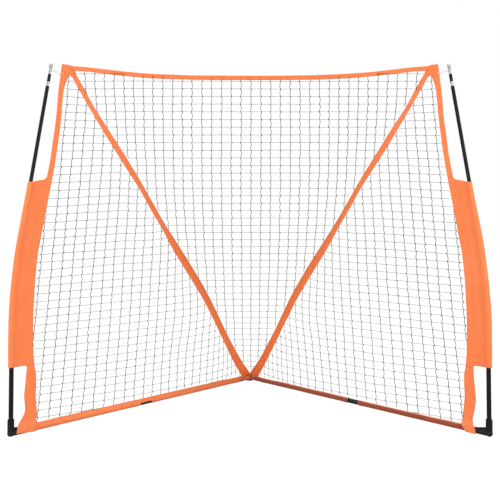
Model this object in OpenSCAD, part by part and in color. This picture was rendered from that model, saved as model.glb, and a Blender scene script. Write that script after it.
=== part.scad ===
// Portable practice goal net: a V-shaped floor frame of tubes, two bowed poles standing in
// front elbows, and one fabric-edged net of two side walls and a back. The rear corner is a
// hinge, so the two halves fold together. Millimetres, +Z up, mouth facing -Y.
// The origin is on the ground, on the axis of the rear hinge.

/* [Footprint] */
// Distance between the feet of the two poles
mouth_w = 2010; // [1600:10:2400]
// Distance from the line through the feet to the crossing of the two legs
base_depth = 1005; // [850:5:1200]

/* [Side wall] */
// Outward tilt of each side wall from the vertical
wall_tilt = 7; // [3:0.5:9]
// Height of the top corners, measured up the side wall from the leg's axis
net_height = 1681; // [1500:1:1800]
// Distance from the foot of the pole to the net's front edge, at the ground
edge_foot = 113; // [100:1:140]
// Height up to which the front edge stands upright
edge_upright = 200; // [120:5:260]
// Radius of the front edge's curve
edge_radius = 3200; // [2900:50:3600]
// Backward lean of the front edge above its curve
edge_lean = 12.2; // [10:0.1:13]
// Distance from the front edge band's outer line to the diagonal seam, at the top
corner_w = 42; // [38:1:60]
// Distance from the legs' crossing to the foot of the diagonal seam
seam_foot_back = 20; // [16:1:60]
// Height of the foot of the diagonal seam
seam_foot_h = 30; // [26:1:60]

/* [Poles] */
// Outside diameter of the lower pole section
pole_low_d = 19; // [16:0.5:20]
// Outside diameter of the upper pole section
pole_top_d = 16.8; // [15:0.1:17]
// Wall of the lower pole section
pole_low_wall = 1; // [0.6:0.1:1.2]
// Wall of the upper pole section
pole_top_wall = 1.2; // [0.8:0.1:1.6]
// Backward lean of the pole where it leaves its elbow
pole_foot_lean = 3.5; // [1:0.5:6]
// Straight length above the elbow, before the bow
pole_low_run = 390; // [300:10:450]
// Radius of the bow
pole_bow_r = 2800; // [2500:50:3200]
// Angle through which the pole bows
pole_bow = 9.3; // [7:0.1:10]
// Length of the upper section held inside the lower one
pole_lap = 80; // [50:5:120]

/* [Pole tips] */
// Outside diameter of the tip collar
collar_d = 15.2; // [14:0.1:16]
// Length of the collar that shows
collar_len = 24; // [15:1:40]
// Length of the collar inside the pole
collar_insert = 30; // [20:1:50]
// Outside diameter of the tip sleeve
tip_sleeve_d = 14.6; // [13:0.1:16]
// Length of the tip sleeve
tip_sleeve_len = 40; // [25:1:60]
// Diameter of the stem that carries the tip
tip_stem_d = 9; // [7:0.5:10]
// Diameter of the fork at the top of the pole
tip_head_d = 17; // [15:0.5:22]
// Length of the fork's head
tip_head_len = 20; // [18:1:40]
// Length of the neck under the head
tip_neck_len = 9; // [8:0.5:14]
// Diameter of the neck, which holds the corner loop
tip_neck_d = 12; // [11:0.5:14]
// Length of the skirt under the neck
tip_skirt_len = 25; // [8:1:35]
// Diameter of the skirt
tip_skirt_d = 13.4; // [12.4:0.1:16]
// Width of the slot across the head
tip_slot_w = 6; // [4:0.5:8]
// Depth of the slot
tip_slot_depth = 14; // [8:1:16]
// Thickness of the elastic cord
loop_cord_d = 3; // [2:0.5:4]

/* [Base frame] */
// Outside diameter of the base tubes
base_tube_d = 19; // [16:0.5:20]
// Wall of the base tubes
base_tube_wall = 1.2; // [0.8:0.1:2]
// Distance from the elbow to the joint between front and rear tubes
base_joint_at = 674; // [550:1:800]
// Outside diameter of the coupler over that joint
coupler_d = 23; // [22:0.5:24]
// Length of the coupler
coupler_len = 60; // [40:1:70]
// Diameter of the elbow's round heel
heel_d = 28.4; // [28:0.1:30]
// Outside diameter of the elbow's upright socket
elbow_up_d = 27; // [24:0.1:27.4]
// Outside diameter of the elbow's level socket
elbow_level_d = 25.6; // [23:0.1:25.8]
// Length of the elbow's upright socket
elbow_socket_h = 57; // [45:1:80]
// Length of the elbow's level socket
elbow_socket_l = 60; // [45:1:62]
// Height of the elbow's web at the upright socket, above the leg's axis
elbow_web_h = 22; // [16:1:22]
// Thickness of that web
elbow_web_t = 12; // [6:1:16]
// Depth by which the heel's underside is cut flat
foot_flat = 1.2; // [0.6:0.1:1.2]

/* [Rear hinge] */
// Distance from the hinge's axis to each leg's axis
pin_offset = 16; // [15.5:0.5:22]
// Outside diameter of each arm's socket
arm_d = 23; // [22.5:0.1:24]
// Length of each arm's socket
arm_len = 95; // [70:1:130]
// Diameter of the hinge's round ends
knuckle_d = 28; // [22:1:28]
// Diameter of the hinge pin
pin_d = 8; // [6:0.5:10]
// Diameter of the pin's head
pin_head_d = 14; // [13:0.5:16]
// Height of the pin's head
pin_head_h = 3; // [2:0.5:5]
// Diameter of the washer under the head
washer_d = 20; // [17:0.5:24]
// Thickness of the washer
washer_t = 1; // [0.5:0.1:2]
// Thickness of the lower and upper ears
ear_t = 8; // [6:0.5:8.5]
// Floor left under the pin
pin_floor = 2; // [1:0.5:4]

/* [Fabric] */
// Thickness of the fabric
fabric_t = 0.9; // [0.6:0.1:1.1]
// Width of the front edge band above the pole sleeve
edge_band_w = 26; // [18:1:36]
// Width of the front edge band below the pole sleeve
low_band_w = 42; // [30:1:55]
// Distance by which the low band spreads at the ground
low_band_flare = 32; // [10:1:40]
// Width of the diagonal seam band
seam_band_w = 30; // [20:1:34]
// Width of the top band
top_band_w = 22; // [16:1:32]
// Sag of the top band at its middle
top_band_sag = 53; // [20:1:90]
// Height of the pole sleeve's lower edge
sleeve_low_h = 262; // [220:1:330]
// Height of the pole sleeve's upper edge
sleeve_top_h = 1105; // [1000:5:1250]
// Depth of the corner patch
patch_h = 56; // [48:1:80]
// Height of the base sleeve's sewn ridge above the leg's axis
ridge_h = 19; // [17:0.5:23]
// Width of the gap between the two base sleeves of a leg
sleeve_gap = 76; // [74:1:100]

/* [Net] */
// Thickness of a strand
strand_d = 3; // [2:0.5:5]
// Distance between upright strands
mesh_w = 96; // [84:1:160]
// Distance between level strands
mesh_h = 108; // [90:1:160]

/* [Hidden] */

$fn = 64;
// Segments of a bowed tube's section
tube_fn = 48;
// Segments of the long curves
curve_fn = 1080;
// Clearance between a tube and its socket
socket_clear = 0.1;
// Clearance between fabric and what it lies beside
fabric_clear = 0.3;
// Clearance between the hinge's ears and its tongue
hinge_clear = 0.3;
// Radial clearance of the pin in the tongue
pin_clear = 0.08;
// Thickness of each arm's end wall, behind the rear tube
arm_wall = 8;
// Directions, from the arm, in which the knuckle's web leaves it on its inner and outer side
web_in = 60;
web_out = 140;
// The web reaches this far into the socket, and stays this far inside its outer side
web_lap = 2;
web_inset = 1;
// Clearance of the back inside the seam bands
back_inset = 1.4;
// Distance from the top corner's level down to the neck that holds the corner loop
loop_drop = 34;
// Play of the corner loop round the neck
loop_play = 0.2;
// Distance from the patch's front edge to its hole for the loop
hole_inset = 9;
// Play of the loop in that hole, all round
hole_play = 1;
// Radius of the notch in the corner patch's lower edge
notch_r = 14;
// Larger than the whole goal
far = 4000;
// The straight run of a bowed tube reaches this far over its bow
bow_lap = 2;
// Difference of diameter between the straight run and the bow
bow_step = 0.2;
// Extra diameter of the lower section's swaged mouth, and the upper section's play in it
swage_extra = 0.6;
mouth_play = 0.2;
// The collar's plug reaches this far into its head
plug_lap = 0.5;
// The base sleeve's ridge springs from these shares of its radius, outside and inside
ridge_root = 0.9;
ridge_root_in = 0.6;
// The side net's first upright strand starts this many meshes before its grid
mesh_lead = 1.25;
// Half width of the slit inside the ridge, and the thickness of its sewn top
ridge_slit = 0.225;
ridge_seam = 2.7;

heel_r = heel_d / 2;
// Height of the legs' axes above the ground
axis_z = heel_r - foot_flat;
leg_angle = atan2(mouth_w / 2, base_depth);
leg_len = norm([mouth_w / 2, base_depth]);
// Crossing of the legs' axes, behind the hinge's axis
cross_y = pin_offset / sin(leg_angle);
elbow_y = cross_y - base_depth;
// Distance from the elbow to the point of the leg beside the hinge's axis
pin_along = leg_len - pin_offset / tan(leg_angle);
// Room round the hinge's axis that the opposite arm's knuckle turns in
knuckle_room = knuckle_d / 2 + 1;
arm_end = pin_along - knuckle_room;
arm_start = arm_end - arm_len;
tube_r = base_tube_d / 2;

// A pole's bow ends at this height and distance along the wall
pole_top_lean = pole_foot_lean + pole_bow;
bow_end_h = pole_low_run * cos(pole_foot_lean) + pole_bow_r * (sin(pole_top_lean) - sin(pole_foot_lean));
tip_len = collar_len + tip_sleeve_len + tip_skirt_len + tip_neck_len / 2;
// Straight length above the bow, up to the collar, so that the neck is level with the corner
pole_top_run = (net_height - loop_drop - bow_end_h) / cos(pole_top_lean) - tip_len;
// The upper section starts this far above the bow's end, and the lower one's mouth this far below it
lap_start = 10;
// Mouth of the lower section, swaged out to take the upper one
mouth_bore = pole_low_d - 2 * pole_low_wall + mouth_play;
mouth_d = mouth_bore + 2 * pole_low_wall + swage_extra;
// The sections start this far inside the elbow
seat = heel_r;

// Front edge of the net at a height, above its curve
edge_curve_top = edge_upright + edge_radius * sin(edge_lean);
function edge_at(h) = edge_foot + edge_radius * (1 - cos(edge_lean)) + (h - edge_curve_top) * tan(edge_lean);
edge_out_w = edge_band_w / cos(edge_lean);
// Rear boundary of the side wall: the diagonal seam
seam_top = [edge_at(net_height) - edge_out_w + corner_w, net_height];
seam_foot = [leg_len - seam_foot_back, seam_foot_h];
seam_lean = atan2(seam_foot[0] - seam_top[0], seam_top[1] - seam_foot[1]);
patch_low = net_height - patch_h;

// A point of the left wall, in the goal's frame
function wall_out(p) = p[1] * sin(wall_tilt);
function wall_point(p) = [
    -mouth_w / 2 + p[0] * sin(leg_angle) - wall_out(p) * cos(leg_angle),
    elbow_y + p[0] * cos(leg_angle) + wall_out(p) * sin(leg_angle),
    axis_z + p[1] * cos(wall_tilt)];
back_top = wall_point(seam_top);
back_foot = wall_point(seam_foot);
back_lean = atan2(back_foot[1] - back_top[1], back_top[2] - back_foot[2]);
back_len = norm([back_foot[1] - back_top[1], back_top[2] - back_foot[2]]);
// Half widths of the back at its top and its foot, inside the seam bands
back_half_top = -back_top[0] - back_inset;
back_half_foot = -back_foot[0] - back_inset;
top_curve_r = (pow(back_half_top, 2) + pow(top_band_sag, 2)) / (2 * top_band_sag);

// -1 on the left, 1 on the right
function hand(side) = side == "left" ? -1 : 1;

// The plane of a side wall: x runs back along the leg, y up the wall
module wall(side) {
    translate([hand(side) * mouth_w / 2, elbow_y, axis_z])
        rotate([0, 0, 90 + hand(side) * leg_angle]) rotate([90 + hand(side) * wall_tilt, 0, 0]) children();
}

// The plane of the back: x across, y up, z forwards, from the middle of its top
module back() {
    translate([0, back_top[1], back_top[2]]) rotate([90 + back_lean, 0, 0]) children();
}

// Lies flat in its plane, half its thickness to each side
module sheet(t) {
    translate([0, 0, -t / 2]) linear_extrude(t) children();
}

// A length of tube along x
module tube_x(from, to, d, bore) {
    translate([from, 0, 0]) rotate([0, 90, 0]) difference() {
        cylinder(h = to - from, d = d);
        if (bore > 0) translate([0, 0, -1]) cylinder(h = to - from + 2, d = bore);
    }
}

// Everything behind a line that runs up, bends back round a curve and runs on straight
module behind_path(run, radius, bend, offset_back) {
    translate([offset_back, -far]) square([far, far + run]);
    translate([radius, run]) {
        circle(r = radius - offset_back, $fn = curve_fn);
        rotate(-bend) translate([offset_back - radius, 0]) square([far, far]);
    }
}

// The wall behind a line at an offset from the front edge of the net
module behind_edge(offset_back) {
    translate([edge_foot, 0]) behind_path(edge_upright, edge_radius, edge_lean, offset_back);
}

// The wall behind a line at an offset from the pole's axis
module behind_pole(offset_back) {
    rotate(-pole_foot_lean) behind_path(pole_low_run, pole_bow_r, pole_bow, offset_back);
}

// The wall between two heights
module level_band(low, high) {
    translate([-far / 2, low]) square([far, high - low]);
}

// Everything in front of the diagonal seam, less a margin
module before_seam(margin) {
    translate(seam_top) rotate(seam_lean) translate([-margin - far, -far]) square([far, 2 * far]);
}

// Carries its children to a pole's axis above the bow, with y up the pole
module above_bow() {
    rotate(-pole_foot_lean) translate([pole_bow_r, pole_low_run])
        rotate(-pole_bow) translate([-pole_bow_r, 0]) children();
}

// A straight tube along y
module tube_y(from, to, d, bore) {
    translate([0, from, 0]) rotate([-90, 0, 0]) difference() {
        cylinder(h = to - from, d = d);
        if (bore > 0) translate([0, 0, -1]) cylinder(h = to - from + 2, d = bore);
    }
}

// A tube along the pole from its seat, and round the bow, where it is a little slimmer
module bowed_tube(from, d, bore) {
    rotate(-pole_foot_lean) {
        tube_y(from, pole_low_run + bow_lap, d, bore);
        translate([pole_bow_r, pole_low_run, 0]) rotate([0, 0, 180 - pole_bow])
            rotate_extrude(angle = pole_bow, $fn = curve_fn) translate([pole_bow_r, 0])
                difference() {
                    circle(d = d - bow_step, $fn = tube_fn);
                    circle(d = bore - bow_step, $fn = tube_fn);
                }
    }
}

// A prism along x over a taper that stands up from the leg's axis
module taper_x(from, to, half_foot, half_top, top) {
    translate([from, 0, 0]) rotate([90, 0, 90]) linear_extrude(to - from)
        polygon([[0, half_foot], [top, half_top], [top, -half_top], [0, -half_foot]]);
}

// A base sleeve: a fabric tube round the leg, drawn up to a sewn ridge
module base_sleeve(from, to, d) {
    r = d / 2 + fabric_clear;
    difference() {
        union() {
            tube_x(from, to, 2 * (r + fabric_t), 0);
            taper_x(from, to, r * ridge_root, fabric_t, ridge_h);
        }
        tube_x(from - 1, to + 1, 2 * r, 0);
        taper_x(from - 1, to + 1, r * ridge_root_in, ridge_slit, ridge_h - ridge_seam);
    }
}

// Round end of the hinge and the web that joins it to an arm
module knuckle(side, low, high) {
    out = hand(side);
    r = knuckle_d / 2;
    translate([0, 0, low]) linear_extrude(high - low) {
        circle(r = r);
        polygon([[r * cos(web_in), -out * r * sin(web_in)],
            [knuckle_room + web_lap, out * (pin_offset - arm_d / 2)],
            [knuckle_room + web_lap, out * (pin_offset + arm_d / 2 - web_inset)],
            [r * cos(web_out), out * r * sin(web_out)]]);
    }
}

// The hinge's frame on a leg: x from the axis towards the elbow
module hinge_frame(side) {
    rotate([0, 0, hand(side) * leg_angle - 90]) children();
}

module elbow(side) {
    color("#1d1d1f") difference() {
        wall(side) {
            sphere(d = heel_d);
            rotate([0, 90, 0]) cylinder(h = elbow_socket_l, d = elbow_level_d);
            rotate([0, 0, -pole_foot_lean]) rotate([-90, 0, 0]) cylinder(h = elbow_socket_h, d = elbow_up_d);
            sheet(elbow_web_t) polygon([[0, 0], [0, elbow_web_h], [elbow_up_d / 2, elbow_web_h],
                [elbow_socket_l, elbow_level_d / 2 - web_inset], [elbow_socket_l, 0]]);
        }
        wall(side) {
            translate([seat, 0, 0]) rotate([0, 90, 0])
                cylinder(h = elbow_socket_l, d = base_tube_d + 2 * socket_clear);
            rotate([0, 0, -pole_foot_lean]) translate([0, seat, 0]) rotate([-90, 0, 0])
                cylinder(h = elbow_socket_h, d = pole_low_d + 2 * socket_clear);
        }
        translate([-mouth_w, elbow_y - heel_d, -heel_d]) cube([2 * mouth_w, 2 * heel_d, heel_d]);
    }
}

module base_tube_front(side) {
    color("#202022") wall(side)
        tube_x(seat + socket_clear, base_joint_at - fabric_clear, base_tube_d, base_tube_d - 2 * base_tube_wall);
}

module base_coupler(side) {
    color("#161618") wall(side)
        tube_x(base_joint_at - coupler_len / 2, base_joint_at + coupler_len / 2,
            coupler_d, base_tube_d + 2 * socket_clear);
}

module base_tube_rear(side) {
    color("#202022") wall(side)
        tube_x(base_joint_at + fabric_clear, arm_end - arm_wall, base_tube_d, base_tube_d - 2 * base_tube_wall);
}

// One arm of the hinge: a blind socket for the rear tube, and its share of the knuckle
module arm_socket(side) {
    translate([0, hand(side) * pin_offset, axis_z]) difference() {
        tube_x(knuckle_room, knuckle_room + arm_len, arm_d, 0);
        tube_x(knuckle_room + arm_wall - socket_clear, far, base_tube_d + 2 * socket_clear, 0);
    }
}

module hinge_arm_left() {
    color("#1a1a1c") hinge_frame("left") difference() {
        union() {
            arm_socket("left");
            knuckle("left", 0, ear_t);
            knuckle("left", 2 * axis_z - ear_t, 2 * axis_z);
        }
        translate([0, 0, pin_floor]) cylinder(h = far, d = pin_d);
    }
}

module hinge_arm_right() {
    color("#1a1a1c") hinge_frame("right") difference() {
        union() {
            arm_socket("right");
            knuckle("right", ear_t + hinge_clear, 2 * axis_z - ear_t - hinge_clear);
        }
        translate([0, 0, -1]) cylinder(h = far, d = pin_d + 2 * pin_clear);
    }
}

module hinge_pin() {
    color("#b9bcc0") {
        translate([0, 0, pin_floor]) cylinder(h = 2 * axis_z + washer_t - pin_floor, d = pin_d);
        translate([0, 0, 2 * axis_z + washer_t]) cylinder(h = pin_head_h, d = pin_head_d);
    }
}

module hinge_washer() {
    color("#c9ccd0") translate([0, 0, 2 * axis_z]) difference() {
        cylinder(h = washer_t, d = washer_d);
        translate([0, 0, -1]) cylinder(h = washer_t + 2, d = pin_d);
    }
}

module pole_lower(side) {
    color("#1c1c1e") wall(side) {
        bowed_tube(seat + socket_clear, pole_low_d, pole_low_d - 2 * pole_low_wall);
        above_bow() tube_y(-lap_start, lap_start + pole_lap, mouth_d, mouth_bore);
    }
}

module pole_upper(side) {
    color("#1c1c1e") wall(side) above_bow()
        tube_y(lap_start, pole_top_run, pole_top_d, pole_top_d - 2 * pole_top_wall);
}

module tip_collar(side) {
    color("#c4c7cb") wall(side) above_bow() translate([0, pole_top_run, 0]) difference() {
        union() {
            tube_y(-collar_insert, plug_lap, pole_top_d - 2 * pole_top_wall - 2 * socket_clear, 0);
            tube_y(0, collar_len, collar_d, 0);
        }
        tube_y(-far, far, tip_stem_d + 2 * socket_clear, 0);
    }
}

module tip_sleeve(side) {
    color("#18181a") wall(side) above_bow()
        translate([0, pole_top_run + collar_len, 0])
            tube_y(0, tip_sleeve_len, tip_sleeve_d, tip_stem_d + 2 * socket_clear);
}

module tip_fork(side) {
    head_from = tip_skirt_len + tip_neck_len;
    color("#d2d4d7") wall(side) above_bow()
        translate([0, pole_top_run + collar_len + tip_sleeve_len, 0]) difference() {
            union() {
                tube_y(-tip_sleeve_len - collar_len - collar_insert / 2, 1, tip_stem_d, 0);
                tube_y(0, tip_skirt_len, tip_skirt_d, 0);
                tube_y(0, head_from + 1, tip_neck_d, 0);
                tube_y(head_from, head_from + tip_head_len, tip_head_d, 0);
            }
            translate([-tip_slot_w / 2, head_from + tip_head_len - tip_slot_depth, -tip_head_d])
                cube([tip_slot_w, far, 2 * tip_head_d]);
        }
}

// Where the loop's far end passes through the corner patch, across the pole's axis
loop_r = tip_neck_d / 2 + loop_cord_d / 2 + loop_play;
neck_h = net_height - loop_drop;
neck_a = pole_low_run * sin(pole_foot_lean) + pole_bow_r * (cos(pole_foot_lean) - cos(pole_top_lean))
    + (neck_h - bow_end_h) * tan(pole_top_lean);
hole_along = (edge_at(neck_h) - edge_out_w + hole_inset - neck_a) / cos(pole_top_lean);
loop_run = hole_along - loop_r;

module corner_loop(side) {
    color("#e9e9e6") wall(side) translate([neck_a, neck_h, 0]) rotate(-pole_top_lean)
        rotate([-90, 0, 0]) {
            for (m = [-1, 1]) translate([0, m * loop_r, 0]) rotate([0, 90, 0]) cylinder(h = loop_run, d = loop_cord_d);
            rotate([0, 0, 90]) rotate_extrude(angle = 180) translate([loop_r, 0]) circle(d = loop_cord_d);
            translate([loop_run, 0, 0]) rotate([0, 0, -90]) rotate_extrude(angle = 180)
                translate([loop_r, 0]) circle(d = loop_cord_d);
        }
}

module loop_hole() {
    translate([neck_a, neck_h]) rotate(-pole_top_lean) translate([hole_along, 0])
        circle(d = loop_cord_d + 2 * hole_play);
}

// Pocket round the pole and the panel that joins it to the front band
module pole_sleeve(side) {
    pocket = mouth_d + 2 * fabric_clear;
    color("#ff8a5c") wall(side) {
        intersection() {
            union() {
                bowed_tube(0, pocket + 2 * fabric_t, pocket);
                above_bow() tube_y(-bow_lap, sleeve_top_h, pocket + 2 * fabric_t, pocket);
            }
            translate([-far / 2, sleeve_low_h, -heel_d]) cube([far, sleeve_top_h - sleeve_low_h, 2 * heel_d]);
        }
        sheet(fabric_t) intersection() {
            behind_pole(pocket / 2 + fabric_t / 2);
            level_band(sleeve_low_h, sleeve_top_h);
            difference() {
                translate([-far / 2, 0]) square([far, net_height]);
                behind_edge(-edge_band_w - fabric_clear);
            }
        }
    }
}

module front_band(side) {
    color("#ff8a5c") wall(side) sheet(fabric_t) difference() {
        intersection() {
            behind_edge(-edge_band_w);
            level_band(sleeve_low_h, patch_low - fabric_clear);
        }
        behind_edge(0);
    }
}

module low_band(side) {
    foot_h = ridge_h + fabric_clear;
    high = sleeve_low_h - fabric_clear;
    color("#ff8a5c") wall(side) sheet(fabric_t)
        polygon([[edge_foot, foot_h], [edge_foot, high], [edge_foot - low_band_w, high],
            [edge_foot - low_band_w, high / 2], [edge_foot - low_band_w - low_band_flare, foot_h]]);
}

module corner_patch(side) {
    mid = (edge_at(patch_low) + seam_top[0] + patch_h * tan(seam_lean) - seam_band_w / cos(seam_lean)) / 2;
    color("#ff7d4a") wall(side) sheet(fabric_t) difference() {
        intersection() {
            level_band(patch_low, net_height);
            behind_edge(-edge_band_w);
            before_seam(0);
        }
        translate([mid, patch_low]) circle(r = notch_r);
        loop_hole();
    }
}

module seam_band(side) {
    color("#e8683a") wall(side) sheet(fabric_t) difference() {
        intersection() {
            before_seam(0);
            level_band(ridge_h + fabric_clear, patch_low - fabric_clear);
        }
        before_seam(seam_band_w);
    }
}

front_sleeve_end = base_joint_at - sleeve_gap / 2;
rear_sleeve_start = base_joint_at + sleeve_gap / 2;

module base_sleeve_front(side) {
    color("#ef6c3c") wall(side)
        base_sleeve(elbow_socket_l + fabric_clear, front_sleeve_end, base_tube_d);
}

module base_sleeve_rear(side) {
    color("#ef6c3c") wall(side) {
        base_sleeve(rear_sleeve_start, arm_start - fabric_clear, base_tube_d);
        base_sleeve(arm_start - fabric_clear, arm_end - web_lap - fabric_clear, arm_d);
    }
}

// Strands that cross each other, on a grid that starts at one corner
module strands(low, high) {
    for (x = [low[0] : mesh_w : high[0]])
        translate([x - strand_d / 2, low[1] - mesh_h]) square([strand_d, high[1] - low[1] + mesh_h]);
    for (y = [low[1] : mesh_h : high[1]])
        translate([low[0] - mesh_w, y - strand_d / 2]) square([high[0] - low[0] + 2 * mesh_w, strand_d]);
}

// The side net's outline, less a margin all round
module side_outline(margin) {
    intersection() {
        behind_edge(fabric_clear + margin);
        before_seam(seam_band_w + fabric_clear + margin);
        level_band(ridge_h + fabric_clear + margin, patch_low - fabric_clear - margin);
    }
}

module side_net(side) {
    low = ridge_h + fabric_clear;
    color("#2a2a2c") wall(side) sheet(strand_d) {
        difference() {
            side_outline(0);
            side_outline(strand_d);
        }
        intersection() {
            side_outline(0);
            translate([edge_foot + mesh_w / 2, low + mesh_h])
                strands([-mesh_lead * mesh_w, -mesh_h], [leg_len, net_height]);
        }
    }
}

// The back's outline below its straight top line, less a margin at the sides and foot
module back_outline(margin) {
    polygon([[margin - back_half_top, 0], [back_half_top - margin, 0],
        [back_half_foot - margin, margin - back_len], [margin - back_half_foot, margin - back_len]]);
}

// The disc whose rim is the top band's upper edge, grown by a margin
module top_disc(margin) {
    translate([0, top_curve_r - top_band_sag]) circle(r = top_curve_r + margin, $fn = curve_fn);
}

module top_band() {
    color("#f5763f") back() sheet(fabric_t) difference() {
        intersection() {
            back_outline(0);
            top_disc(top_band_w);
        }
        top_disc(0);
    }
}

module back_net() {
    cols = floor(back_half_top / mesh_w);
    net_top = top_band_w + fabric_clear;
    color("#2a2a2c") back() sheet(strand_d) {
        difference() {
            back_outline(0);
            top_disc(net_top);
            difference() {
                back_outline(strand_d);
                top_disc(net_top + strand_d);
            }
        }
        difference() {
            intersection() {
                back_outline(0);
                strands([-cols * mesh_w, mesh_h - back_len], [(cols + 0.5) * mesh_w, 0]);
            }
            top_disc(net_top);
        }
    }
}

elbow("left");  // elbow_left
elbow("right");  // elbow_right
base_tube_front("left");  // base_tube_front_left
base_tube_front("right");  // base_tube_front_right
base_coupler("left");  // base_coupler_left
base_coupler("right");  // base_coupler_right
base_tube_rear("left");  // base_tube_rear_left
base_tube_rear("right");  // base_tube_rear_right
hinge_arm_left();
hinge_arm_right();
hinge_pin();
hinge_washer();
pole_lower("left");  // pole_lower_left
pole_lower("right");  // pole_lower_right
pole_upper("left");  // pole_upper_left
pole_upper("right");  // pole_upper_right
tip_collar("left");  // tip_collar_left
tip_collar("right");  // tip_collar_right
tip_sleeve("left");  // tip_sleeve_left
tip_sleeve("right");  // tip_sleeve_right
tip_fork("left");  // tip_fork_left
tip_fork("right");  // tip_fork_right
corner_loop("left");  // corner_loop_left
corner_loop("right");  // corner_loop_right
pole_sleeve("left");  // pole_sleeve_left
pole_sleeve("right");  // pole_sleeve_right
front_band("left");  // front_band_left
front_band("right");  // front_band_right
low_band("left");  // low_band_left
low_band("right");  // low_band_right
corner_patch("left");  // corner_patch_left
corner_patch("right");  // corner_patch_right
seam_band("left");  // seam_band_left
seam_band("right");  // seam_band_right
base_sleeve_front("left");  // base_sleeve_front_left
base_sleeve_front("right");  // base_sleeve_front_right
base_sleeve_rear("left");  // base_sleeve_rear_left
base_sleeve_rear("right");  // base_sleeve_rear_right
side_net("left");  // side_net_left
side_net("right");  // side_net_right
top_band();
back_net();
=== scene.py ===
"""Portable practice goal: two bowed poles on a folding V base, and a net edged in orange cloth.

Metres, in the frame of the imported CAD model: the origin is on the ground, on the axis of the
rear hinge, +X points right across the mouth, +Y away from the mouth and +Z up.
"""

from __future__ import annotations

import logging
import math
from dataclasses import dataclass, field
from enum import Enum
from typing import Callable, Iterable, Sequence

import bpy
from mathutils import Matrix, Vector, noise

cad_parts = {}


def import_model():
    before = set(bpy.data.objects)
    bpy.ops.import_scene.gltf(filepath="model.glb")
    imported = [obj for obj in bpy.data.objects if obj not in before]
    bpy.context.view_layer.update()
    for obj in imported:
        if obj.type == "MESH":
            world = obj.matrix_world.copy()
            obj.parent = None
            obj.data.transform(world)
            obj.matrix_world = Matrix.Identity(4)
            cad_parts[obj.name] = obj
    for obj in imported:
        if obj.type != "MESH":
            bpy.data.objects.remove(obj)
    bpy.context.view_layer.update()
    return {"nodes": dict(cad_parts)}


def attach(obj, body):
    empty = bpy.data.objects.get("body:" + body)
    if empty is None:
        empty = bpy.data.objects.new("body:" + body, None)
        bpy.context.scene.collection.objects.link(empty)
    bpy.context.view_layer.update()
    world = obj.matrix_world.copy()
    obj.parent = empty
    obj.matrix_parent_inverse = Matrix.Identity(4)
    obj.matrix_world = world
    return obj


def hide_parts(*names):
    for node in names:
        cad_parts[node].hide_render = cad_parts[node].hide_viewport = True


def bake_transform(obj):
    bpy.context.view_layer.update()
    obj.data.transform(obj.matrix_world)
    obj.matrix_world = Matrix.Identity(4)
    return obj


LOG = logging.getLogger("practice_goal")
TAU = 2 * math.pi

Pair = tuple[float, float]
Triple = tuple[float, float, float]
PlacePoint = Callable[[float, float, float], Vector]
# A point of a cord: its place, the cord's radius and 1 where a knot sits
CordPoint = tuple[Vector, float, float]

# Radius of the net's upright strands and of its level ones
UPRIGHT_R, LEVEL_R = 0.0015, 0.00085
# Slope of the net's uprights and the rise of a row, along a side wall
LEAN, ROW_RISE = 0.157, 0.0332
# Height of the web at each top corner
WEB_H = 0.056
# Cross-sections of the pole sleeve, and distance between those of the base sleeve
SLEEVE_ROWS, SLEEVE_STEP = 150, 0.004
# Places across a folded band, from its fold to its hem, and the share of its thickness there
BAND_PROFILE: tuple[Pair, ...] = (
    (0.0, 0.0), (0.03, 0.55), (0.1, 0.92), (0.22, 1.0), (0.4, 0.9), (0.58, 0.84), (0.74, 0.86),
    (0.86, 0.95), (0.95, 0.8), (0.985, 0.5), (1.0, 0.0),
)


class Side(Enum):
    """The two halves of the goal."""

    LEFT = "left"
    RIGHT = "right"

    @property
    def hand(self) -> int:
        """-1 on the left, 1 on the right."""
        return -1 if self is Side.LEFT else 1

    @property
    def body(self) -> str:
        """Name of the CAD body that this half's pieces ride on."""
        return f"{self.value}_half"


class Slot(Enum):
    """Material slots of the record that the scene's own pieces use."""

    CLOTH = "orange_fabric"
    NETTING = "black_netting"


# ---------------------------------------------------------------- small maths


def ease(value: float, low: float = 0.0, high: float = 1.0) -> float:
    """Smooth step of a value, from 0 at one limit to 1 at the other.

    Args:
        value: What is eased.
        low: Value at which the result is 0.
        high: Value at which the result is 1.

    Returns:
        A number from 0 to 1.
    """
    t = min(max((value - low) / (high - low), 0.0), 1.0)
    return t * t * (3 - 2 * t)


def ripple(seed: float, x: float, y: float = 0.0) -> float:
    """Smooth repeatable noise from about -1 to 1, with its place in wavelengths."""
    return noise.noise(Vector((x + 17.3 * seed, y - 9.1 * seed, 3.7 * seed))) * 1.6


def steps(start: float, end: float, count: int) -> list[float]:
    """Equally spaced values, with both ends."""
    return [start + (end - start) * i / (count - 1) for i in range(count)]


@dataclass(frozen=True)
class Track:
    """A smooth curve through knots, read as one value for each position.

    Attributes:
        knots: (position, value) pairs, in rising order of position.
    """

    knots: tuple[Pair, ...]

    def __call__(self, at: float) -> float:
        """Value of the curve at a position, held flat past its ends.

        Args:
            at: The position.

        Returns:
            The value.
        """
        k = self.knots
        if at <= k[0][0]:
            return k[0][1]
        if at >= k[-1][0]:
            return k[-1][1]
        i = max(j for j in range(len(k) - 1) if k[j][0] <= at)
        (x0, y0), (x1, y1) = k[i], k[i + 1]
        xa, ya = k[i - 1] if i else (2 * x0 - x1, 2 * y0 - y1)
        xb, yb = k[i + 2] if i + 2 < len(k) else (2 * x1 - x0, 2 * y1 - y0)
        m0 = (y1 - ya) / (x1 - xa) * (x1 - x0)
        m1 = (yb - y0) / (xb - x0) * (x1 - x0)
        t = (at - x0) / (x1 - x0)
        ends = (2 * t**3 - 3 * t**2 + 1) * y0 + (3 * t**2 - 2 * t**3) * y1
        return ends + (t**3 - 2 * t**2 + t) * m0 + (t**3 - t**2) * m1


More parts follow.
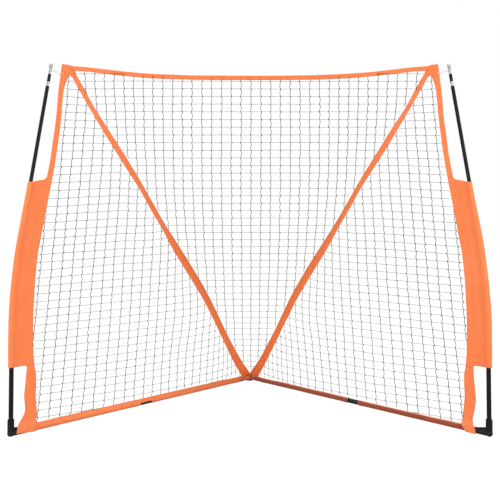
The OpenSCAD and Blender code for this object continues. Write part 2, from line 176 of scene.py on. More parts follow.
def spaced(points: Sequence[Pair], count: int) -> list[Pair]:
    """Points at equal steps of length along a line of straight pieces.

    Args:
        points: Corners of the line.
        count: How many points to return.

    Returns:
        The new points, with the two ends kept.
    """
    lengths = [0.0]
    for before, after in zip(points, points[1:]):
        lengths.append(lengths[-1] + math.dist(before, after))
    result, j = [], 0
    for want in steps(0.0, lengths[-1], count):
        while j < len(points) - 2 and lengths[j + 1] < want:
            j += 1
        span = lengths[j + 1] - lengths[j]
        t = (want - lengths[j]) / span if span else 0.0
        (xa, ya), (xb, yb) = points[j], points[j + 1]
        result.append((xa + (xb - xa) * t, ya + (yb - ya) * t))
    return result


def rounded(points: Sequence[Pair], radius: float, count: int = 6) -> list[Pair]:
    """Rounds the corners of a line.

    Args:
        points: Corners of the line.
        radius: Distance from each corner at which its curve begins.
        count: Steps of each curve.

    Returns:
        The line with each corner replaced by a short curve.
    """
    result = [points[0]]
    for before, corner, after in zip(points, points[1:], points[2:]):
        p, a, b = Vector(corner), Vector(before) - Vector(corner), Vector(after) - Vector(corner)
        start = p + a.normalized() * min(radius, a.length * 0.45)
        end = p + b.normalized() * min(radius, b.length * 0.45)
        for t in steps(0.0, 1.0, count + 1):
            q = start * (1 - t) ** 2 + p * (2 * t * (1 - t)) + end * t**2
            result.append((q.x, q.y))
    return [*result, points[-1]]


def unbroken(points: Iterable[CordPoint | None], least: int) -> list[list[CordPoint]]:
    """Splits a row of points at its gaps.

    Args:
        points: The points, with None for a gap.
        least: Fewest points that a run needs to be kept.

    Returns:
        The runs.
    """
    runs: list[list[CordPoint]] = [[]]
    for point in points:
        if point is None:
            runs.append([])
        else:
            runs[-1].append(point)
    return [run for run in runs if len(run) >= least]


# ---------------------------------------------------------------- the goal's planes

# Distance back along the leg of the diagonal seam, for each height up the wall
SEAM_LINE = Track((
    (0.012, 1.4213), (0.030, 1.4155), (0.09, 1.3745), (0.16, 1.3312), (0.24, 1.2855), (0.32, 1.2431),
    (0.40, 1.2034), (0.48, 1.1626), (0.56, 1.1168), (0.64, 1.0676), (0.72, 1.0132), (0.80, 0.9573),
    (0.90, 0.8881), (1.0, 0.8257), (1.1, 0.7640), (1.2, 0.7001), (1.3, 0.6326), (1.4, 0.5619),
    (1.5, 0.4918), (1.56, 0.4509), (1.60, 0.4250), (1.687, 0.3747),
))


@dataclass(frozen=True)
class WallPlane:
    """The plane of a side wall: a runs back along the leg, h up the wall and z inwards."""

    side: Side
    half_mouth: float = 1.005
    elbow_y: float = -0.98237258
    axis_z: float = 0.013
    tilt: float = math.radians(7)
    leg_turn: float = math.radians(45)

    def point(self, a: float, h: float, z: float = 0.0) -> Vector:
        """Place of a point of the wall in the goal's frame.

        Args:
            a: Distance back along the leg from the elbow.
            h: Height up the wall from the leg's axis.
            z: Distance inwards from the wall.

        Returns:
            The point.
        """
        out = h * math.sin(self.tilt) - z * math.cos(self.tilt)
        s, c = math.sin(self.leg_turn), math.cos(self.leg_turn)
        return Vector((
            self.side.hand * (self.half_mouth - a * s + out * c),
            self.elbow_y + a * c + out * s,
            self.axis_z + h * math.cos(self.tilt) + z * math.sin(self.tilt),
        ))


@dataclass(frozen=True)
class BackPlane:
    """The leaning plane between the two diagonal seams, with the belly of the net in it."""

    top: Vector = Vector((0.884932, -0.572586, 1.681470))
    foot: Vector = Vector((0.016727, 0.011071, 0.042776))
    belly: float = 0.15
    belly_skew: float = 1.3
    level_h: float = 0.795
    level_y: float = -3.3084

    def seam(self, z: float) -> Vector:
        """Point of the right diagonal seam at a height."""
        wall = WallPlane(Side.RIGHT)
        h = (z - wall.axis_z) / math.cos(wall.tilt)
        return wall.point(SEAM_LINE(h), h)

    def half_width(self, z: float) -> float:
        """Half the distance between the seams at a height."""
        return self.seam(z).x

    def depth(self, x: float, z: float) -> float:
        """Depth of the slack net, which hangs furthest forwards in its middle.

        Args:
            x: Distance across.
            z: Height.

        Returns:
            The y of the net there.
        """
        t = min(max((z - self.foot.z) / (self.top.z - self.foot.z), 0.0), 1.0)
        share = min(abs(x) / max(self.half_width(z), 1e-4), 1.0)
        return self.seam(z).y - self.belly * math.sin(math.pi * t**self.belly_skew) * (1 - share**2)

    def row_z(self, mid_z: float, x: float) -> float:
        """Height of a row of the net away from its middle: the rows bow a little.

        Args:
            mid_z: Height of the row in its middle.
            x: Distance from the middle.

        Returns:
            Its height there.
        """
        mid = self.depth(0.0, mid_z) - self.level_y
        z = mid_z
        for _ in range(4):
            z = self.level_h + (mid_z - self.level_h) * (self.depth(x, z) - self.level_y) / mid
        return z


# ---------------------------------------------------------------- node helpers


class Nodes:
    """Adds nodes to one tree, sets their values and links them."""

    def __init__(self, tree: bpy.types.NodeTree) -> None:
        """Keeps the tree that the nodes go into."""
        self.tree = tree

    def put(self, value: object, socket: bpy.types.NodeSocket) -> None:
        """Links an output to a socket, or sets its value, with a colour's alpha at 1."""
        if isinstance(value, bpy.types.NodeSocket):
            self.tree.links.new(value, socket)
        else:
            socket.default_value = (*value, 1.0) if socket.type == "RGBA" else value

    def fill(self, node: bpy.types.Node, **sockets: object) -> bpy.types.Node:
        """Sets or links inputs of a node.

        Args:
            node: The node.
            **sockets: Values or outputs for its inputs, by name, with _ for a space.

        Returns:
            The node.
        """
        for key, value in sockets.items():
            name = key.replace("_", " ")
            self.put(value, next(s for s in node.inputs if s.name == name and s.enabled))
        return node

    def add(self, kind: str, settings: dict | None = None, **sockets: object) -> bpy.types.Node:
        """Adds one node.

        Args:
            kind: Blender's name of the node's class.
            settings: The node's own properties.
            **sockets: Its inputs, as for fill.

        Returns:
            The node.
        """
        node = self.tree.nodes.new(kind)
        for key, value in (settings or {}).items():
            setattr(node, key, value)
        return self.fill(node, **sockets)

    def get(self, kind: str, settings: dict | None = None, **sockets: object) -> bpy.types.NodeSocket:
        """Adds a node, as add does, and returns its first output."""
        return next(s for s in self.add(kind, settings, **sockets).outputs if s.enabled)

    def math(self, operation: str, a: object, b: object = 0.0, c: object = 0.0, clamp: bool = False):
        """Adds a Math node.

        Args:
            operation: Its operation.
            a: First value or output.
            b: Second value or output.
            c: Third value or output.
            clamp: Whether the result is kept from 0 to 1.

        Returns:
            Its output.
        """
        node = self.add("ShaderNodeMath", {"operation": operation, "use_clamp": clamp})
        for value, socket in zip((a, b, c), node.inputs):
            self.put(value, socket)
        return node.outputs[0]

    def mul(self, a: object, b: object, clamp: bool = False) -> bpy.types.NodeSocket:
        """Product of two values."""
        return self.math("MULTIPLY", a, b, clamp=clamp)

    def mad(self, a: object, b: object, c: object, clamp: bool = True) -> bpy.types.NodeSocket:
        """Product of two values plus a third, kept from 0 to 1 unless told otherwise."""
        return self.math("MULTIPLY_ADD", a, b, c, clamp)

    def axis(self, vector: bpy.types.NodeSocket, index: int) -> bpy.types.NodeSocket:
        """One coordinate of a vector."""
        return self.add("ShaderNodeSeparateXYZ", Vector=vector).outputs[index]

    def noise(self, vector: object, scale: object, detail: float, **more: object) -> bpy.types.NodeSocket:
        """Value of a noise texture."""
        return self.get("ShaderNodeTexNoise", Vector=vector, Scale=scale, Detail=detail, **more)

    def mix(self, factor: object, a: object, b: object, blend: str = "MIX") -> bpy.types.NodeSocket:
        """Mixes two colours."""
        return self.get("ShaderNodeMix", {"data_type": "RGBA", "blend_type": blend}, Factor=factor, A=a, B=b)

    def layer(self, factor: object, a: bpy.types.Node, b: bpy.types.Node) -> bpy.types.NodeSocket:
        """Mixes the shaders of two nodes."""
        node = self.add("ShaderNodeMixShader")
        for value, socket in zip((factor, a.outputs[0], b.outputs[0]), node.inputs):
            self.put(value, socket)
        return node.outputs[0]

    def bump(self, height: object, distance: float, strength: float, **more: object) -> bpy.types.NodeSocket:
        """Normal of a bumpy surface."""
        return self.get("ShaderNodeBump", Height=height, Distance=distance, Strength=strength, **more)

    def group(self, tree: bpy.types.NodeTree, **sockets: object) -> bpy.types.Node:
        """Places a shader group with its values."""
        return self.add("ShaderNodeGroup", {"node_tree": tree}, **sockets)


def new_tree(
    kind: str, name: str, inputs: dict[str, tuple[str, object]], outputs: dict[str, str]
) -> tuple[Nodes, bpy.types.Node, bpy.types.Node]:
    """Starts a node group.

    Args:
        kind: Shader or Geometry.
        name: Name of the group.
        inputs: Socket type and default of each input.
        outputs: Socket type of each output.

    Returns:
        The tree's helper, the group's input node and its output node.
    """
    tree = bpy.data.node_groups.new(name, f"{kind}NodeTree")
    for key, (socket_type, default) in inputs.items():
        socket = tree.interface.new_socket(key, in_out="INPUT", socket_type=f"NodeSocket{socket_type}")
        if default is not None:
            socket.default_value = default
    for key, socket_type in outputs.items():
        tree.interface.new_socket(key, in_out="OUTPUT", socket_type=f"NodeSocket{socket_type}")
    nodes = Nodes(tree)
    return nodes, nodes.add("NodeGroupInput"), nodes.add("NodeGroupOutput")


def blank(owner: bpy.types.Material | bpy.types.World) -> Nodes:
    """Empties the node tree of a material or world."""
    owner.use_nodes = True
    owner.node_tree.nodes.clear()
    return Nodes(owner.node_tree)


class Effects:
    """The shader groups that several finishes share, each built once."""

    def __init__(self) -> None:
        """Builds the groups."""
        self.weave = self._weave()
        self.patches = self._patches()
        self.dust = self._dust()
        self.scuffs = self._scuffs()
        self.grain = self._grain()

    @staticmethod
    def _start(name: str, outputs: Sequence[str], **inputs: float) -> tuple[Nodes, dict, bpy.types.Node]:
        """Starts a group with a Vector input and some numbers."""
        sockets = {"Vector": ("Vector", None), **{key: ("Float", value) for key, value in inputs.items()}}
        n, i, o = new_tree("Shader", name, sockets, {key: "Float" for key in outputs})
        return n, {key: i.outputs[key] for key in sockets}, o

    def _weave(self) -> bpy.types.NodeTree:
        """Plain weave of warp and weft yarns, from a cloth's own coordinates."""
        n, given, o = self._start("PlainWeave", ("Height", "Shade"), Pitch=0.001)
        turn = n.math("DIVIDE", math.pi, given["Pitch"])
        warp, weft = (n.math("SINE", n.mul(n.axis(given["Vector"], k), turn)) for k in (0, 1))
        over = n.mad(n.mul(warp, weft), 4.0, 0.5)
        up = n.mul(n.math("ABSOLUTE", warp), over)
        down = n.mul(n.math("ABSOLUTE", weft), n.math("SUBTRACT", 1.0, over))
        height = n.math("ADD", up, down)
        # Shade is painted shade in the hollows between the yarns.
        n.fill(o, Height=height, Shade=n.mad(height, 0.35, 0.65, clamp=False))
        return n.tree

    def _patches(self) -> bpy.types.NodeTree:
        """Soft uneven shade at two scales, from 0 to 1."""
        n, given, o = self._start("SoftPatches", ("Shade",), Scale=6.0)
        broad = n.noise(given["Vector"], given["Scale"], 3.0)
        fine = n.noise(given["Vector"], n.mul(given["Scale"], 7.0), 2.0)
        mixed = n.math("ADD", n.mul(broad, 0.7), n.mul(fine, 0.3))
        n.fill(o, Shade=n.mad(mixed, 2.4, -0.7))
        return n.tree

    def _dust(self) -> bpy.types.NodeTree:
        """Dust near the ground and on faces that look up."""
        n, given, o = self._start("GroundDust", ("Mask",), Reach=0.06, Amount=0.5)
        height = n.math("DIVIDE", n.axis(given["Vector"], 2), given["Reach"])
        low = n.math("SUBTRACT", 1.0, height, clamp=True)
        up = n.mad(n.axis(n.add("ShaderNodeNewGeometry").outputs["Normal"], 2), 0.5, 0.1)
        where = n.math("ADD", n.mul(low, 0.8), n.mul(up, 0.35))
        mask = n.mul(where, n.mad(n.noise(given["Vector"], 420.0, 4.0), 3.0, -1.0))
        n.fill(o, Mask=n.mul(mask, given["Amount"], clamp=True))
        return n.tree

    def _scuffs(self) -> bpy.types.NodeTree:
        """Fine scratches and rubbed spots."""
        n, given, o = self._start("Scuffs", ("Mask",), Scale=60.0, Amount=0.5)
        drawn = n.get("ShaderNodeMapping", Vector=given["Vector"], Scale=(1.0, 1.0, 0.12), Rotation=(0.2, 0.12, 0.0))
        thin = n.mad(n.noise(drawn, given["Scale"], 6.0, Roughness=0.7), 9.0, -5.2)
        where = n.mad(n.noise(given["Vector"], 9.0, 2.0), 4.0, -1.8)
        n.fill(o, Mask=n.mul(n.mul(thin, where), given["Amount"], clamp=True))
        return n.tree

    def _grain(self) -> bpy.types.NodeTree:
        """Leathery grain of a moulded surface."""
        n, given, o = self._start("MouldGrain", ("Height",), Scale=900.0)
        cells = n.get("ShaderNodeTexVoronoi", {"feature": "SMOOTH_F1"}, Vector=given["Vector"], Scale=given["Scale"])
        fine = n.noise(given["Vector"], n.mul(given["Scale"], 2.0), 2.0)
        n.fill(o, Height=n.math("ADD", cells, n.mul(fine, 0.5)))
        return n.tree


# ---------------------------------------------------------------- finishes


@dataclass(frozen=True)
class Finish:
    """A material of one Principled BSDF, on Object coordinates."""

    name: str

    def build(self, effects: Effects) -> bpy.types.Material:
        """Builds the material.

        Args:
            effects: The shared shader groups.

        Returns:
            The material.
        """
        material = bpy.data.materials.new(self.name)
        n = blank(material)
        shader = n.add("ShaderNodeBsdfPrincipled")
        n.put(shader.outputs[0], n.add("ShaderNodeOutputMaterial").inputs[0])
        n.fill(shader, **self.paint(n, n.add("ShaderNodeTexCoord").outputs["Object"], effects))
        return material

    def paint(self, n: Nodes, place: bpy.types.NodeSocket, effects: Effects) -> dict[str, object]:
        """Values and outputs for the shader's inputs."""
        raise NotImplementedError


@dataclass(frozen=True)
class ClothFinish(Finish):
    """Woven polyester, dyed through.

    Attributes:
        name: Name of the material.
        base: Its colour.
        shade: Its colour in the darker patches.
        pitch: Distance between yarns.
        soft: Height of its soft creases.
        edge: Colour of a painted highlight along its ridge, if it has one.
        highlight_reach: How far the painted highlight reaches down from the ridge.
        hem: Its colour near the lower edge, used only with the ridge highlight; on the shaded sleeve it is painted
            light along the lower edge.
        hem_from: Distance from the ridge at which that colour begins.
        rear_shade: Its colour towards the rear, a painted shade that deepens there.
        painted_shade_from: Distance along it from which it takes a painted shade, 0 for nowhere.
        turned: Colour of that painted shade.
    """

    name: str = "orange_cloth"
    base: Triple = (1.0, 0.262, 0.088)
    shade: Triple = (1.0, 0.222, 0.066)
    pitch: float = 0.0011
    soft: float = 0.0012
    edge: Triple | None = None
    highlight_reach: float = 0.007
    hem: Triple = (0.6, 0.115, 0.035)
    hem_from: float = 0.028
    rear_shade: Triple = (0.84, 0.165, 0.038)
    painted_shade_from: float = 0.0
    turned: Triple = (0.34, 0.055, 0.02)

    def paint(self, n: Nodes, place: bpy.types.NodeSocket, effects: Effects) -> dict[str, object]:
        """Values and outputs for the shader's inputs."""
        cloth = n.get("ShaderNodeUVMap", {"uv_map": "Cloth"})
        weave = n.group(effects.weave, Vector=cloth, Pitch=self.pitch)
        patches = n.group(effects.patches, Vector=place, Scale=5.0).outputs[0]
        dust = n.group(effects.dust, Vector=place, Reach=0.05, Amount=0.25).outputs[0]
        colour = n.mix(patches, self.base, self.shade)
        # Painted shade: the cloth darkens towards the rear of the goal.
        colour = n.mix(n.mad(n.axis(place, 1), 1.7, 0.95), colour, self.rear_shade)
        # Painted shade on the part of the strip past a set distance along it.
        if self.painted_shade_from:
            turned = n.mad(n.axis(cloth, 0), 300.0, 0.5 - 300.0 * self.painted_shade_from)
            colour = n.mix(turned, colour, self.turned)
        # Painted highlight along the ridge, and painted light along the lower edge.
        if self.edge:
            across = n.math("ABSOLUTE", n.axis(cloth, 1))
            colour = n.mix(n.mad(across, 90.0, -90.0 * self.hem_from), colour, self.hem)
            colour = n.mix(n.mad(across, -600.0, 600.0 * self.highlight_reach + 0.5), colour, self.edge)
        # Painted shade: the weave darkens the hollows between the yarns.
        colour = n.mix(0.2, colour, weave.outputs["Shade"], "MULTIPLY")
        creases = n.bump(n.noise(place, 26.0, 3.0, Distortion=0.6), self.soft * 2, 0.5)
        return {
            "Base_Color": n.mix(dust, colour, (0.34, 0.26, 0.2)),
            "Roughness": n.mad(patches, 0.12, 0.72, clamp=False),
            "Sheen_Weight": 0.08,
            "Sheen_Roughness": 0.5,
            "Specular_IOR_Level": 0.2,
            "Normal": n.bump(weave.outputs["Height"], 0.00025, 0.6, Normal=creases),
        }


@dataclass(frozen=True)
class CordFinish(Finish):
    """Knotted or braided cord.

    Attributes:
        name: Name of the material.
        base: Its colour.
        worn: Its colour where fibres stand up.
        twist: Scale of its twist.
    """

    name: str = "black_netting"
    base: Triple = (0.012, 0.012, 0.013)
    worn: Triple = (0.045, 0.045, 0.048)
    twist: float = 900.0

    def paint(self, n: Nodes, place: bpy.types.NodeSocket, effects: Effects) -> dict[str, object]:
        """Values and outputs for the shader's inputs."""
        patches = n.group(effects.patches, Vector=place, Scale=14.0).outputs[0]
        bands = {"wave_type": "BANDS", "bands_direction": "DIAGONAL"}
        wave = n.add("ShaderNodeTexWave", bands, Vector=place, Scale=self.twist / 3, Distortion=2.0, Detail=1.0)
        fibre = wave.outputs["Fac"]
        tone = n.mul(patches, n.mad(fibre, 0.6, 0.4, clamp=False))
        return {
            "Base_Color": n.mix(tone, self.base, self.worn),
            "Roughness": n.mad(patches, 0.2, 0.65, clamp=False),
            "Sheen_Weight": 0.1,
            "Normal": n.bump(fibre, 0.0004, 0.7),
        }


@dataclass(frozen=True)
class TubeFinish(Finish):
    """Satin black coating on drawn tube, rubbed where it slides.

    Attributes:
        name: Name of the material.
        base: Colour of the coating.
        rubbed: Colour of the rubbed places.
        gloss: Roughness of the clean coating.
    """

    name: str = "black_coating"
    base: Triple = (0.0045, 0.0045, 0.005)
    rubbed: Triple = (0.035, 0.035, 0.037)
    gloss: float = 0.42

    def paint(self, n: Nodes, place: bpy.types.NodeSocket, effects: Effects) -> dict[str, object]:
        """Values and outputs for the shader's inputs."""
        patches = n.group(effects.patches, Vector=place, Scale=12.0).outputs[0]
        scuffs = n.group(effects.scuffs, Vector=place, Scale=160.0, Amount=0.7).outputs[0]
        dust = n.group(effects.dust, Vector=place, Reach=0.08, Amount=0.5).outputs[0]
        coated = n.mix(scuffs, self.base, self.rubbed)
        rough = n.mad(scuffs, 0.3, n.mad(patches, 0.12, self.gloss, clamp=False), clamp=False)
        return {
            "Base_Color": n.mix(dust, coated, (0.06, 0.055, 0.05)),
            "Roughness": n.mad(dust, 0.4, rough),
            "Specular_IOR_Level": 0.14,
            "Normal": n.bump(n.noise(place, 700.0, 2.0), 0.00008, 0.5),
        }


@dataclass(frozen=True)
class PlasticFinish(Finish):
    """Moulded black plastic with a fine grain.

    Attributes:
        name: Name of the material.
        base: Its colour.
        rough: Its roughness.
    """

    name: str = "moulded_plastic"
    base: Triple = (0.005, 0.005, 0.0055)
    rough: float = 0.5

    def paint(self, n: Nodes, place: bpy.types.NodeSocket, effects: Effects) -> dict[str, object]:
        """Values and outputs for the shader's inputs."""
        grain = n.group(effects.grain, Vector=place, Scale=850.0).outputs[0]
        scuffs = n.group(effects.scuffs, Vector=place, Scale=90.0, Amount=0.8).outputs[0]
        dust = n.group(effects.dust, Vector=place, Reach=0.035, Amount=0.7).outputs[0]
        colour = n.mix(scuffs, self.base, (0.032, 0.032, 0.034))
        return {
            "Base_Color": n.mix(dust, colour, (0.07, 0.064, 0.056)),
            "Roughness": n.mad(dust, 0.35, self.rough),
            "Specular_IOR_Level": 0.13,
            "Normal": n.bump(grain, 0.00012, 0.6),
        }


@dataclass(frozen=True)
class MetalFinish(Finish):
    """Turned bright metal with fine rings and a little tarnish.

    Attributes:
        name: Name of the material.
        base: Its colour.
        tarnish: Its colour in the dull places.
    """

    name: str = "turned_metal"
    base: Triple = (0.42, 0.425, 0.44)
    tarnish: Triple = (0.2, 0.195, 0.19)

    def paint(self, n: Nodes, place: bpy.types.NodeSocket, effects: Effects) -> dict[str, object]:
        """Values and outputs for the shader's inputs."""
        patches = n.group(effects.patches, Vector=place, Scale=60.0).outputs[0]
        rings = n.noise(n.get("ShaderNodeMapping", Vector=place, Scale=(0.2, 0.2, 6.0)), 500.0, 2.0)
        return {
            "Base_Color": n.mix(n.mul(patches, 0.5), self.base, self.tarnish),
            "Metallic": 1.0,
            "Roughness": n.mad(rings, 0.25, 0.16, clamp=False),
            "Normal": n.bump(rings, 0.00006, 0.5),
        }


class Wardrobe:
    """Every finish of the goal, built once and handed out by name."""

    def __init__(self) -> None:
        """Builds all the materials."""
        effects = Effects()
        self.cloth = ClothFinish().build(effects)
        self.thread = ClothFinish(
            "orange_thread", base=(1.0, 0.36, 0.17), shade=(0.95, 0.28, 0.11), pitch=0.0004
        ).build(effects)
        # Left base sleeve: painted shade deepening towards the rear.
        self.base_cloth = ClothFinish(
            "orange_cloth_base", base=(1.0, 0.25, 0.078), shade=(0.96, 0.21, 0.06), rear_shade=(0.66, 0.125, 0.03)
        ).build(effects)
        # Right base sleeve: darker cloth as painted shade, with a painted highlight on its ridge and painted light on
        # its lower edge.
        self.shaded_cloth = ClothFinish(
            "orange_cloth_painted_shade", base=(0.36, 0.06, 0.022), shade=(0.28, 0.042, 0.015),
            edge=(1.0, 0.66, 0.56), highlight_reach=0.0062, hem=(0.7, 0.13, 0.03), rear_shade=(0.26, 0.05, 0.02),
        ).build(effects)
        # Apex strip: painted shade on its right half and towards the rear.
        self.apex_cloth = ClothFinish("orange_cloth_apex", rear_shade=(0.62, 0.12, 0.03), painted_shade_from=0.066).build(effects)
        self.netting = CordFinish().build(effects)
        self.elastic = CordFinish(
            "white_elastic", base=(0.93, 0.93, 0.91), worn=(0.8, 0.8, 0.78), twist=1500.0
        ).build(effects)
        self.coating = TubeFinish().build(effects)
        self.plastic = PlasticFinish().build(effects)
        self.metal = MetalFinish().build(effects)


# ---------------------------------------------------------------- mesh helpers


def linked(name: str, data: bpy.types.ID) -> bpy.types.Object:
    """Makes an object of a mesh, lamp or camera and links it to the scene."""
    obj = bpy.data.objects.new(name, data)
    bpy.context.scene.collection.objects.link(obj)
    return obj


def mesh_object(
    name: str, verts: Iterable[Vector], faces: Sequence[Sequence[int]],
    uvs: Sequence[Pair] | None = None, flip: bool = False,
) -> bpy.types.Object:
    """Makes a smooth-shaded mesh object at the origin.

    Args:
        name: Name of the object.
        verts: Its points.
        faces: Its faces, as rows of point numbers.
        uvs: A place on the cloth for each point.
        flip: Whether the faces are turned over, as on the mirrored side.

    Returns:
        The object, linked to the scene.
    """
    mesh = bpy.data.meshes.new(name)
    mesh.from_pydata([tuple(v) for v in verts], [], [tuple(reversed(f)) if flip else tuple(f) for f in faces])
    if uvs is not None:
        layer = mesh.uv_layers.new(name="Cloth")
        for loop in mesh.loops:
            layer.data[loop.index].uv = uvs[loop.vertex_index]
    mesh.polygons.foreach_set("use_smooth", [True] * len(mesh.polygons))
    mesh.update()
    return linked(name, mesh)


def guide_object(name: str, lines: Sequence[Sequence[Vector]]) -> bpy.types.Object:
    """Makes an object of loose edges along lines."""
    places, edges = [], []
    for line in lines:
        edges += [(len(places) + k, len(places) + k + 1) for k in range(len(line) - 1)]
        places += [tuple(place) for place in line]
    mesh = bpy.data.meshes.new(name)
    mesh.from_pydata(places, edges, [])
    return linked(name, mesh)


def apply_modifiers(obj: bpy.types.Object) -> bpy.types.Object:
    """Turns the modified shape of an object into its plain mesh, and drops the modifiers."""
    graph = bpy.context.evaluated_depsgraph_get()
    graph.update()
    baked = bpy.data.meshes.new_from_object(obj.evaluated_get(graph), preserve_all_data_layers=True, depsgraph=graph)
    old, obj.data = obj.data, baked
    baked.name = obj.name
    obj.modifiers.clear()
    bpy.data.meshes.remove(old)
    return obj


def grid_faces(rows: int, columns: int, closed: bool) -> list[tuple[int, ...]]:
    """Faces of a grid of points.

    Args:
        rows: How many rings or rows it has.
        columns: How many points each has.
        closed: Whether each row's last point joins its first.

    Returns:
        The faces.
    """
    faces = []
    for i in range(rows - 1):
        for j in range(columns if closed else columns - 1):
            k = (j + 1) % columns
            faces.append((i * columns + j, i * columns + k, (i + 1) * columns + k, (i + 1) * columns + j))
    return faces


def solidify(obj: bpy.types.Object, thickness: float) -> bpy.types.Object:
    """Gives a cloth surface its thickness, half on each side, and applies it."""
    modifier = obj.modifiers.new("Thickness", "SOLIDIFY")
    modifier.thickness, modifier.offset, modifier.use_even_offset = thickness, 0.0, True
    return apply_modifiers(obj)


# ---------------------------------------------------------------- geometry node trees


class GuideTree:
    """A Geometry Nodes tree that turns guide lines into a piece."""

    def __init__(self, name: str, **inputs: tuple[str, object]) -> None:
        """Builds the tree.

        Args:
            name: Name of the tree.
            **inputs: Socket type and default of each input after the geometry and material.
        """
        sockets = {"Geometry": ("Geometry", None), "Material": ("Material", None), **inputs}
        self.n, given, result = new_tree("Geometry", name, sockets, {"Geometry": "Geometry"})
        self.n.tree.is_modifier = True
        self.given = given.outputs
        real = self.n.get("GeometryNodeRealizeInstances", Geometry=self.shape())
        smooth = self.n.get("GeometryNodeSetShadeSmooth", Geometry=real)
        done = self.n.get("GeometryNodeSetMaterial", Geometry=smooth, Material=self.given["Material"])
        self.n.put(done, result.inputs[0])

    def shape(self) -> bpy.types.NodeSocket:
        """Nodes of the piece itself."""
        raise NotImplementedError

    def run(self, obj: bpy.types.Object, material: bpy.types.Material) -> bpy.types.Object:
        """Runs the tree on an object of guide lines and keeps the result as its mesh."""
        modifier = obj.modifiers.new(self.n.tree.name, "NODES")
        modifier.node_group = self.n.tree
        modifier[self.n.tree.interface.items_tree["Material"].identifier] = material
        return apply_modifiers(obj)


class CordTree(GuideTree):
    """Turns guide lines into round cords, with a knot at each marked point."""

    def __init__(self) -> None:
        """Builds the tree."""
        super().__init__("NetCords", Sides=("Int", 5), Knot_Size=("Float", 0.0026), Seed=("Int", 4))

    def shape(self) -> bpy.types.NodeSocket:
        """Nodes of the cords and their knots."""
        n, given = self.n, self.given
        thick, knot = (
            n.get("GeometryNodeInputNamedAttribute", {"data_type": "FLOAT"}, Name=name) for name in ("thick", "knot")
        )
        lines = n.get("GeometryNodeMeshToCurve", Mesh=given["Geometry"])
        sized = n.get("GeometryNodeSetCurveRadius", Curve=lines, Radius=thick)
        ring = n.get("GeometryNodeCurvePrimitiveCircle", Resolution=given["Sides"], Radius=1.0)
        tube = n.add("GeometryNodeCurveToMesh", Curve=sized, Profile_Curve=ring, Fill_Caps=True)
        if "Scale" in tube.inputs:
            n.fill(tube, Scale=thick)
        compare = {"data_type": "FLOAT", "operation": "GREATER_THAN"}
        marked = n.get("FunctionNodeCompare", compare, A=knot, B=0.5)
        ball = n.get("GeometryNodeMeshIcoSphere", Radius=1.0, Subdivisions=2)
        size = n.get("FunctionNodeRandomValue", {"data_type": "FLOAT"}, Min=0.85, Max=1.25, Seed=given["Seed"])
        turn = n.get("FunctionNodeRandomValue", {"data_type": "FLOAT_VECTOR"}, Seed=given["Seed"])
        scale = n.mul(size, given["Knot_Size"])
        squat = n.get("ShaderNodeCombineXYZ", X=scale, Y=n.mul(scale, 0.8), Z=n.mul(scale, 1.15))
        points = n.get(
            "GeometryNodeInstanceOnPoints",
            Points=given["Geometry"], Selection=marked, Instance=ball, Rotation=turn, Scale=squat,
        )
        both = n.add("GeometryNodeJoinGeometry")
        for part in (points, tube.outputs[0]):
            n.put(part, both.inputs[0])
        return both.outputs[0]

    def cords(
        self, name: str, lines: Sequence[Sequence[CordPoint]], material: bpy.types.Material
    ) -> bpy.types.Object:
        """Makes cords along guide lines.

        Args:
            name: Name of the object.
            lines: The points of each cord.
            material: Their material.

        Returns:
            The cords as one mesh.
        """
        obj = guide_object(name, [[point[0] for point in line] for line in lines])
        for index, key in ((1, "thick"), (2, "knot")):
            values = [point[index] for line in lines for point in line]
            obj.data.attributes.new(key, "FLOAT", "POINT").data.foreach_set("value", values)
        return self.run(obj, material)


class StitchTree(GuideTree):
    """Sews guide lines: one short thread after another."""

    def __init__(self) -> None:
        """Builds the tree."""
        super().__init__("Stitches", Pitch=("Float", 0.005), Share=("Float", 0.7), Thread=("Float", 0.0005))

    def shape(self) -> bpy.types.NodeSocket:
        """Nodes of the stitches."""
        n, given = self.n, self.given
        lines = n.get("GeometryNodeMeshToCurve", Mesh=given["Geometry"])
        even = n.add("GeometryNodeResampleCurve", {"mode": "LENGTH"}, Curve=lines, Length=given["Pitch"])
        depth = n.mul(given["Pitch"], given["Share"])
        thread = n.get("GeometryNodeMeshCylinder", Vertices=5, Radius=given["Thread"], Depth=depth)
        aim = n.get("FunctionNodeAlignRotationToVector", {"axis": "Z"}, Vector=n.get("GeometryNodeInputTangent"))
        return n.get("GeometryNodeInstanceOnPoints", Points=even.outputs[0], Instance=thread, Rotation=aim)

    def sew(self, name: str, lines: Sequence[Sequence[Vector]], material: bpy.types.Material) -> bpy.types.Object:
        """Sews along lines.

        Args:
            name: Name of the object.
            lines: The seams.
            material: The thread's material.

        Returns:
            The stitches as one mesh.
        """
        return self.run(guide_object(name, lines), material)


